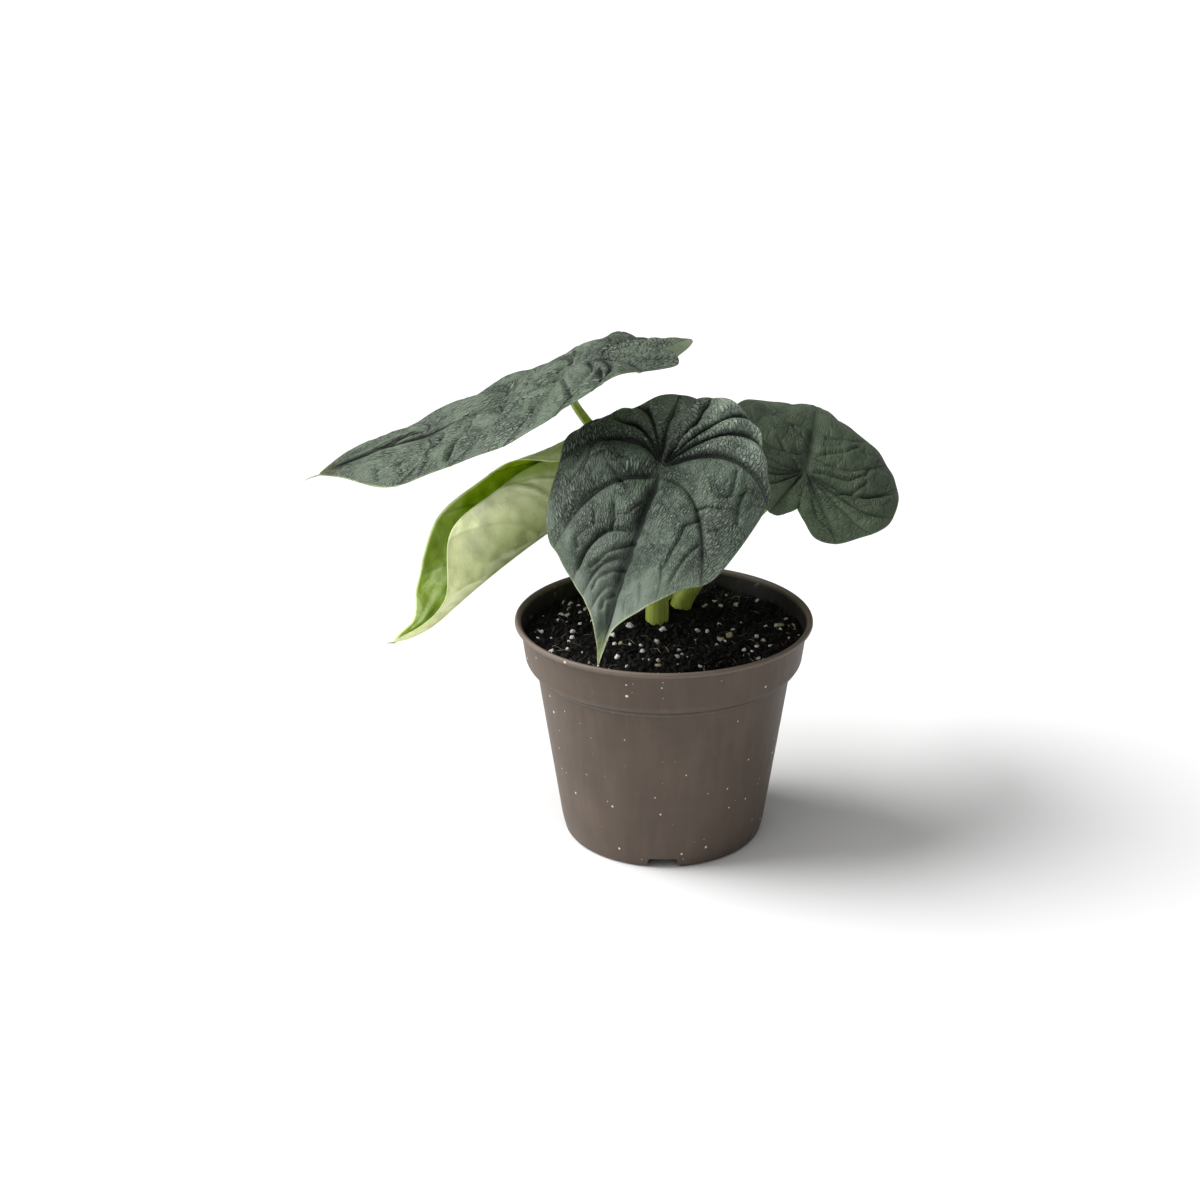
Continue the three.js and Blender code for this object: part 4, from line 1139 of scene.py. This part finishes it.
def taupe_plastic():
    """Thin moulded taupe plastic: faint rings from the mould, scuffs, specks of dust, an inside darkened
    partly by soil and partly by painted shade, painted light along the step at the band's foot and a painted
    highlight along the lip.
    """
    f = Finish("taupe_plastic")
    x, y, z = (f.node("ShaderNodeSeparateXYZ", inputs={0: f.place}, output=axis) for axis in "XYZ")
    step, top = BAND_FOOT_Z * MM, POT_HEIGHT * MM
    wrapped = f.node("ShaderNodeCombineXYZ", inputs={"X": x.math("ARCTAN2", y * -1.0) * 0.05, "Y": z})
    clouds = f.noise(0.03, 5, 0.6)
    streaks = f.noise(0.004, 4, place=f.stretched(f.place, (1, 1, 0.09)))
    dust = f.noise(0.0022, 5, 0.7).between(0.6, 0.78) * f.noise(0.02, 2).between(0.45, 0.65)
    speck = f.specks(wrapped, 0.0105, 0.05, 0.66) + f.specks(wrapped, 0.005, 0.05, 0.9) * 0.7

    # The inside of the band, by its distance from a cone that follows the inner wall; it is painted
    # near-black, partly for soil and partly as painted shade
    aside = f.vector("LENGTH", {0: f.stretched(f.place, (1, 1, 0))}, "Value")
    past_wall = aside - (z - 0.077) * 0.198 - 0.05455
    inside_soil_and_shade = past_wall.beyond(0.0003, 0.0007) * z.beyond(top - 0.0015, top - 0.0005) * z.between(0.07, 0.072)
    soiled = f.noise(0.006, 5, 0.7).between(0.3, 0.52)
    crumbs = f.dots(0.0045, 0.1, 0.22) * f.noise(0.008, 2).between(0.5, 0.6) * inside_soil_and_shade
    color = f.paint(
        f.blend(clouds.between(0.3, 0.7), (0.074, 0.051, 0.036), (0.097, 0.069, 0.049)),
        (streaks.between(0.4, 0.8) * 0.25, (0.145, 0.108, 0.083)),
        (dust * 0.22, (0.3, 0.265, 0.235)),
        (speck, (0.7, 0.65, 0.57)),
        # Near-black inside the pot: partly soil stains, partly painted shade
        (inside_soil_and_shade * (0.75 + 0.25 * soiled), (0.007, 0.006, 0.005)),
        # Painted light: a lighter band around the step at the band's foot, against the shade under its
        # overhang
        (z.between(step - 0.0008, step) * z.beyond(step + 0.0015, step + 0.0023) * 0.4, (0.2, 0.155, 0.12)),
        # Painted highlight: the lip painted lighter along its top
        (z.between(top - 0.0024, top - 0.0015) * 0.4, (0.22, 0.175, 0.14)),
        (crumbs * 0.7, (0.24, 0.2, 0.16)))
    rings = (z * 1400 + clouds * 2.0).math("SINE")
    height = rings * 0.04 + streaks * 0.4 + speck * 0.8 + f.noise(0.0006, 3) * 0.25
    roughness = 0.42 + 0.16 * clouds + 0.12 * dust + 0.04 * soiled
    return f.surface(color, roughness, f.bump(height, 0.00012, 0.6), Specular_IOR_Level=0.42)


def peat():
    f = Finish("moist_peat")
    crumbs = f.noise(0.0032, 6, 0.7)
    dots = f.dots(0.0035, 0.05, 0.12) * f.noise(0.004, 2).between(0.5, 0.6)
    color = f.paint(
        f.blend(crumbs.between(0.35, 0.7), (0.0008, 0.0007, 0.0006), (0.004, 0.003, 0.0024)),
        (f.noise(0.0013, 4, 0.65).between(0.6, 0.75) * 0.5, (0.018, 0.012, 0.008)),
        (dots * 0.7, (0.3, 0.27, 0.22)))
    bumps = f.bump(f.noise(0.0012, 6, 0.7), 0.0009)
    return f.surface(color, 0.82 + 0.18 * crumbs, bumps, Specular_IOR_Level=0.12)


def strewn(name, low, high, size, roughness=0.9):
    """Something strewn on the soil, in two shades that change from piece to piece."""
    f = Finish(name)
    clouds = f.noise(size, 4, 0.65)
    bumps = f.bump(f.noise(size * 0.12, 4, 0.7), 0.0003, 0.9)
    color = f.blend(clouds.between(0.35, 0.65), low, high)
    return f.surface(color, roughness - 0.1 * clouds, bumps, Specular_IOR_Level=0.25)


def pale_floor():
    f = Finish("pale_floor")
    return f.surface(f.blend(f.noise(0.6, 2), (0.9,) * 3, (0.92,) * 3), 0.85, Specular_IOR_Level=0.1)


# The object

MATURE = {
    "left": grown_leaf(
        "leaf_skin_left", dark=(0.01, 0.014, 0.01), mid=(0.078, 0.105, 0.075), light=(0.146, 0.183, 0.133),
        gloss=0.56, lime=(0.2, 0.22, 0.1), rough=0.68, pale_from=(0.9, 1), stroke=1.45, quiet=0.1, grain=1.4),
    "front": grown_leaf(
        "leaf_skin_front", dark=(0.006, 0.01, 0.007), mid=(0.08, 0.109, 0.08), light=(0.134, 0.168, 0.13),
        gloss=0.5, lime=(0.36, 0.43, 0.2), rough=1, pale_from=(0.78, 1), stroke=1, quiet=1, lobe_painted_light=0.85),
    "right": grown_leaf(
        "leaf_skin_right", dark=(0.01, 0.016, 0.01), mid=(0.046, 0.069, 0.04), light=(0.08, 0.113, 0.063),
        gloss=0.6, lime=(0.25, 0.33, 0.13), rough=0.35, pale_from=(0.85, 1), stroke=0.5, quiet=0.5,
        lobe_painted_light=0.3),
}
young = new_leaf()
green_stalk = leaf_stalk("green_stalk", (0.66, 0.76, 0.15), (0.36, 0.45, 0.05))
young_stalk = leaf_stalk("young_stalk", (0.46, 0.52, 0.16), (0.34, 0.43, 0.09))
dry_point = strewn("dry_point", (0.6, 0.58, 0.42), (0.75, 0.72, 0.58), 0.002, 0.6)

for name, leaf in LEAVES.items():
    mature = name in MATURE
    skin, slot = (MATURE[name], "leaf") if mature else (young, "new_leaf")
    flesh, stalk_slot = (green_stalk, "stalk") if mature else (young_stalk, "young_stalk")
    finish_piece(make_blade(name, leaf), skin, slot, "blade_" + name)
    finish_piece(make_tip_hair(name, leaf), dry_point, slot)
    finish_piece(make_stalk(name, leaf), flesh, stalk_slot, "stalk_" + name)

finish_piece(make_pot(), taupe_plastic(), "pot", "pot")

soil = make_soil()
tree = strewing_tree()
perlite_finish = strewn("perlite_white", (0.6, 0.58, 0.54), (0.85, 0.84, 0.8), 0.004)
crumb_finish = strewn("bark_crumb", (0.0008, 0.0007, 0.0006), (0.006, 0.0045, 0.0035), 0.005, 0.85)
fibre_finish = strewn("root_fibre", (0.03, 0.02, 0.013), (0.34, 0.28, 0.21), 0.006)
tan_finish = strewn("tan_grain", (0.3, 0.24, 0.13), (0.5, 0.43, 0.3), 0.003)

grains = [grain_shape("grain", k + 0.5, (1, 0.85, 0.75)) for k in range(4)]
crumbs = [grain_shape("crumb", k + 2.5, (1.3, 0.8, 0.5), 0.35, 1) for k in range(4)]
fibres = [fibre_shape("fibre", k * 1.9) for k in range(4)]
tans = [grain_shape("tan", k + 7.5, (1, 0.8, 0.7)) for k in range(2)]
finish_piece(make_model_grains(model_grains(), grains), perlite_finish, "soil")

# Name, shapes, finish, number for each square metre, seed, smallest and largest size, and tilt in radians
for name, shapes, material, *amounts in (
    ("fine_perlite", grains, perlite_finish, 9500, 3, 0.3, 1.5, 3.0),
    ("bark_crumbs", crumbs, crumb_finish, 190000, 8, 0.4, 1.5, 1.2),
    ("root_fibres", fibres, fibre_finish, 15000, 14, 1.5, 4.5, 0.35),
    ("tan_grains", tans, tan_finish, 1300, 21, 1.0, 2.1, 1.0),
):
    finish_piece(strew(name, tree, soil, shapes, material, *amounts), material, "soil")
finish_piece(soil, peat(), "soil", "soil")

# Floor, light and camera

floor_mesh = bpy.data.meshes.new("floor")
floor_mesh.from_pydata([(-12, -12, 0), (12, -12, 0), (12, 12, 0), (-12, 12, 0)], [], [(0, 1, 2, 3)])
floor_mesh.materials.append(pale_floor())
floor = put("floor", floor_mesh)
floor.location.z = -0.0002

world = bpy.data.worlds.new("studio")
world.use_nodes = True
sky = world.node_tree.nodes["Background"].inputs
sky["Color"].default_value = (1, 1, 1, 1)
sky["Strength"].default_value = 0.23
bpy.context.scene.world = world


def add_sun(name, azimuth, elevation, strength, spread):
    """Light from that side (0 is the front, 90 the right), with that angle between its edges."""
    lamp = bpy.data.lights.new(name, "SUN")
    lamp.energy = strength
    lamp.angle = math.radians(spread)
    a, e = math.radians(azimuth), math.radians(elevation)
    toward = Vector((math.sin(a) * math.cos(e), -math.cos(a) * math.cos(e), math.sin(e)))
    put(name, lamp).rotation_euler = (-toward).to_track_quat("-Z", "Y").to_euler()


add_sun("window", -97, 46, 3.45, 43)
add_sun("ceiling", -45, 56, 0.7, 80)
add_sun("side", -88, 14, 1.1, 40)

camera_data = bpy.data.cameras.new("camera")
camera_data.lens = 58.1
camera_data.sensor_width = 36
camera_data.clip_end = 60
camera = put("camera", camera_data)
camera.location = (0, -0.72461, 0.38166)
look = Vector((-0.03284, 0.93111, -0.36325))
roll = Quaternion((0, 0, 1), math.radians(-0.5))
camera.rotation_euler = (look.to_track_quat("-Z", "Y") @ roll).to_euler()
bpy.context.scene.camera = camera
bpy.context.scene.view_settings.view_transform = "Standard"
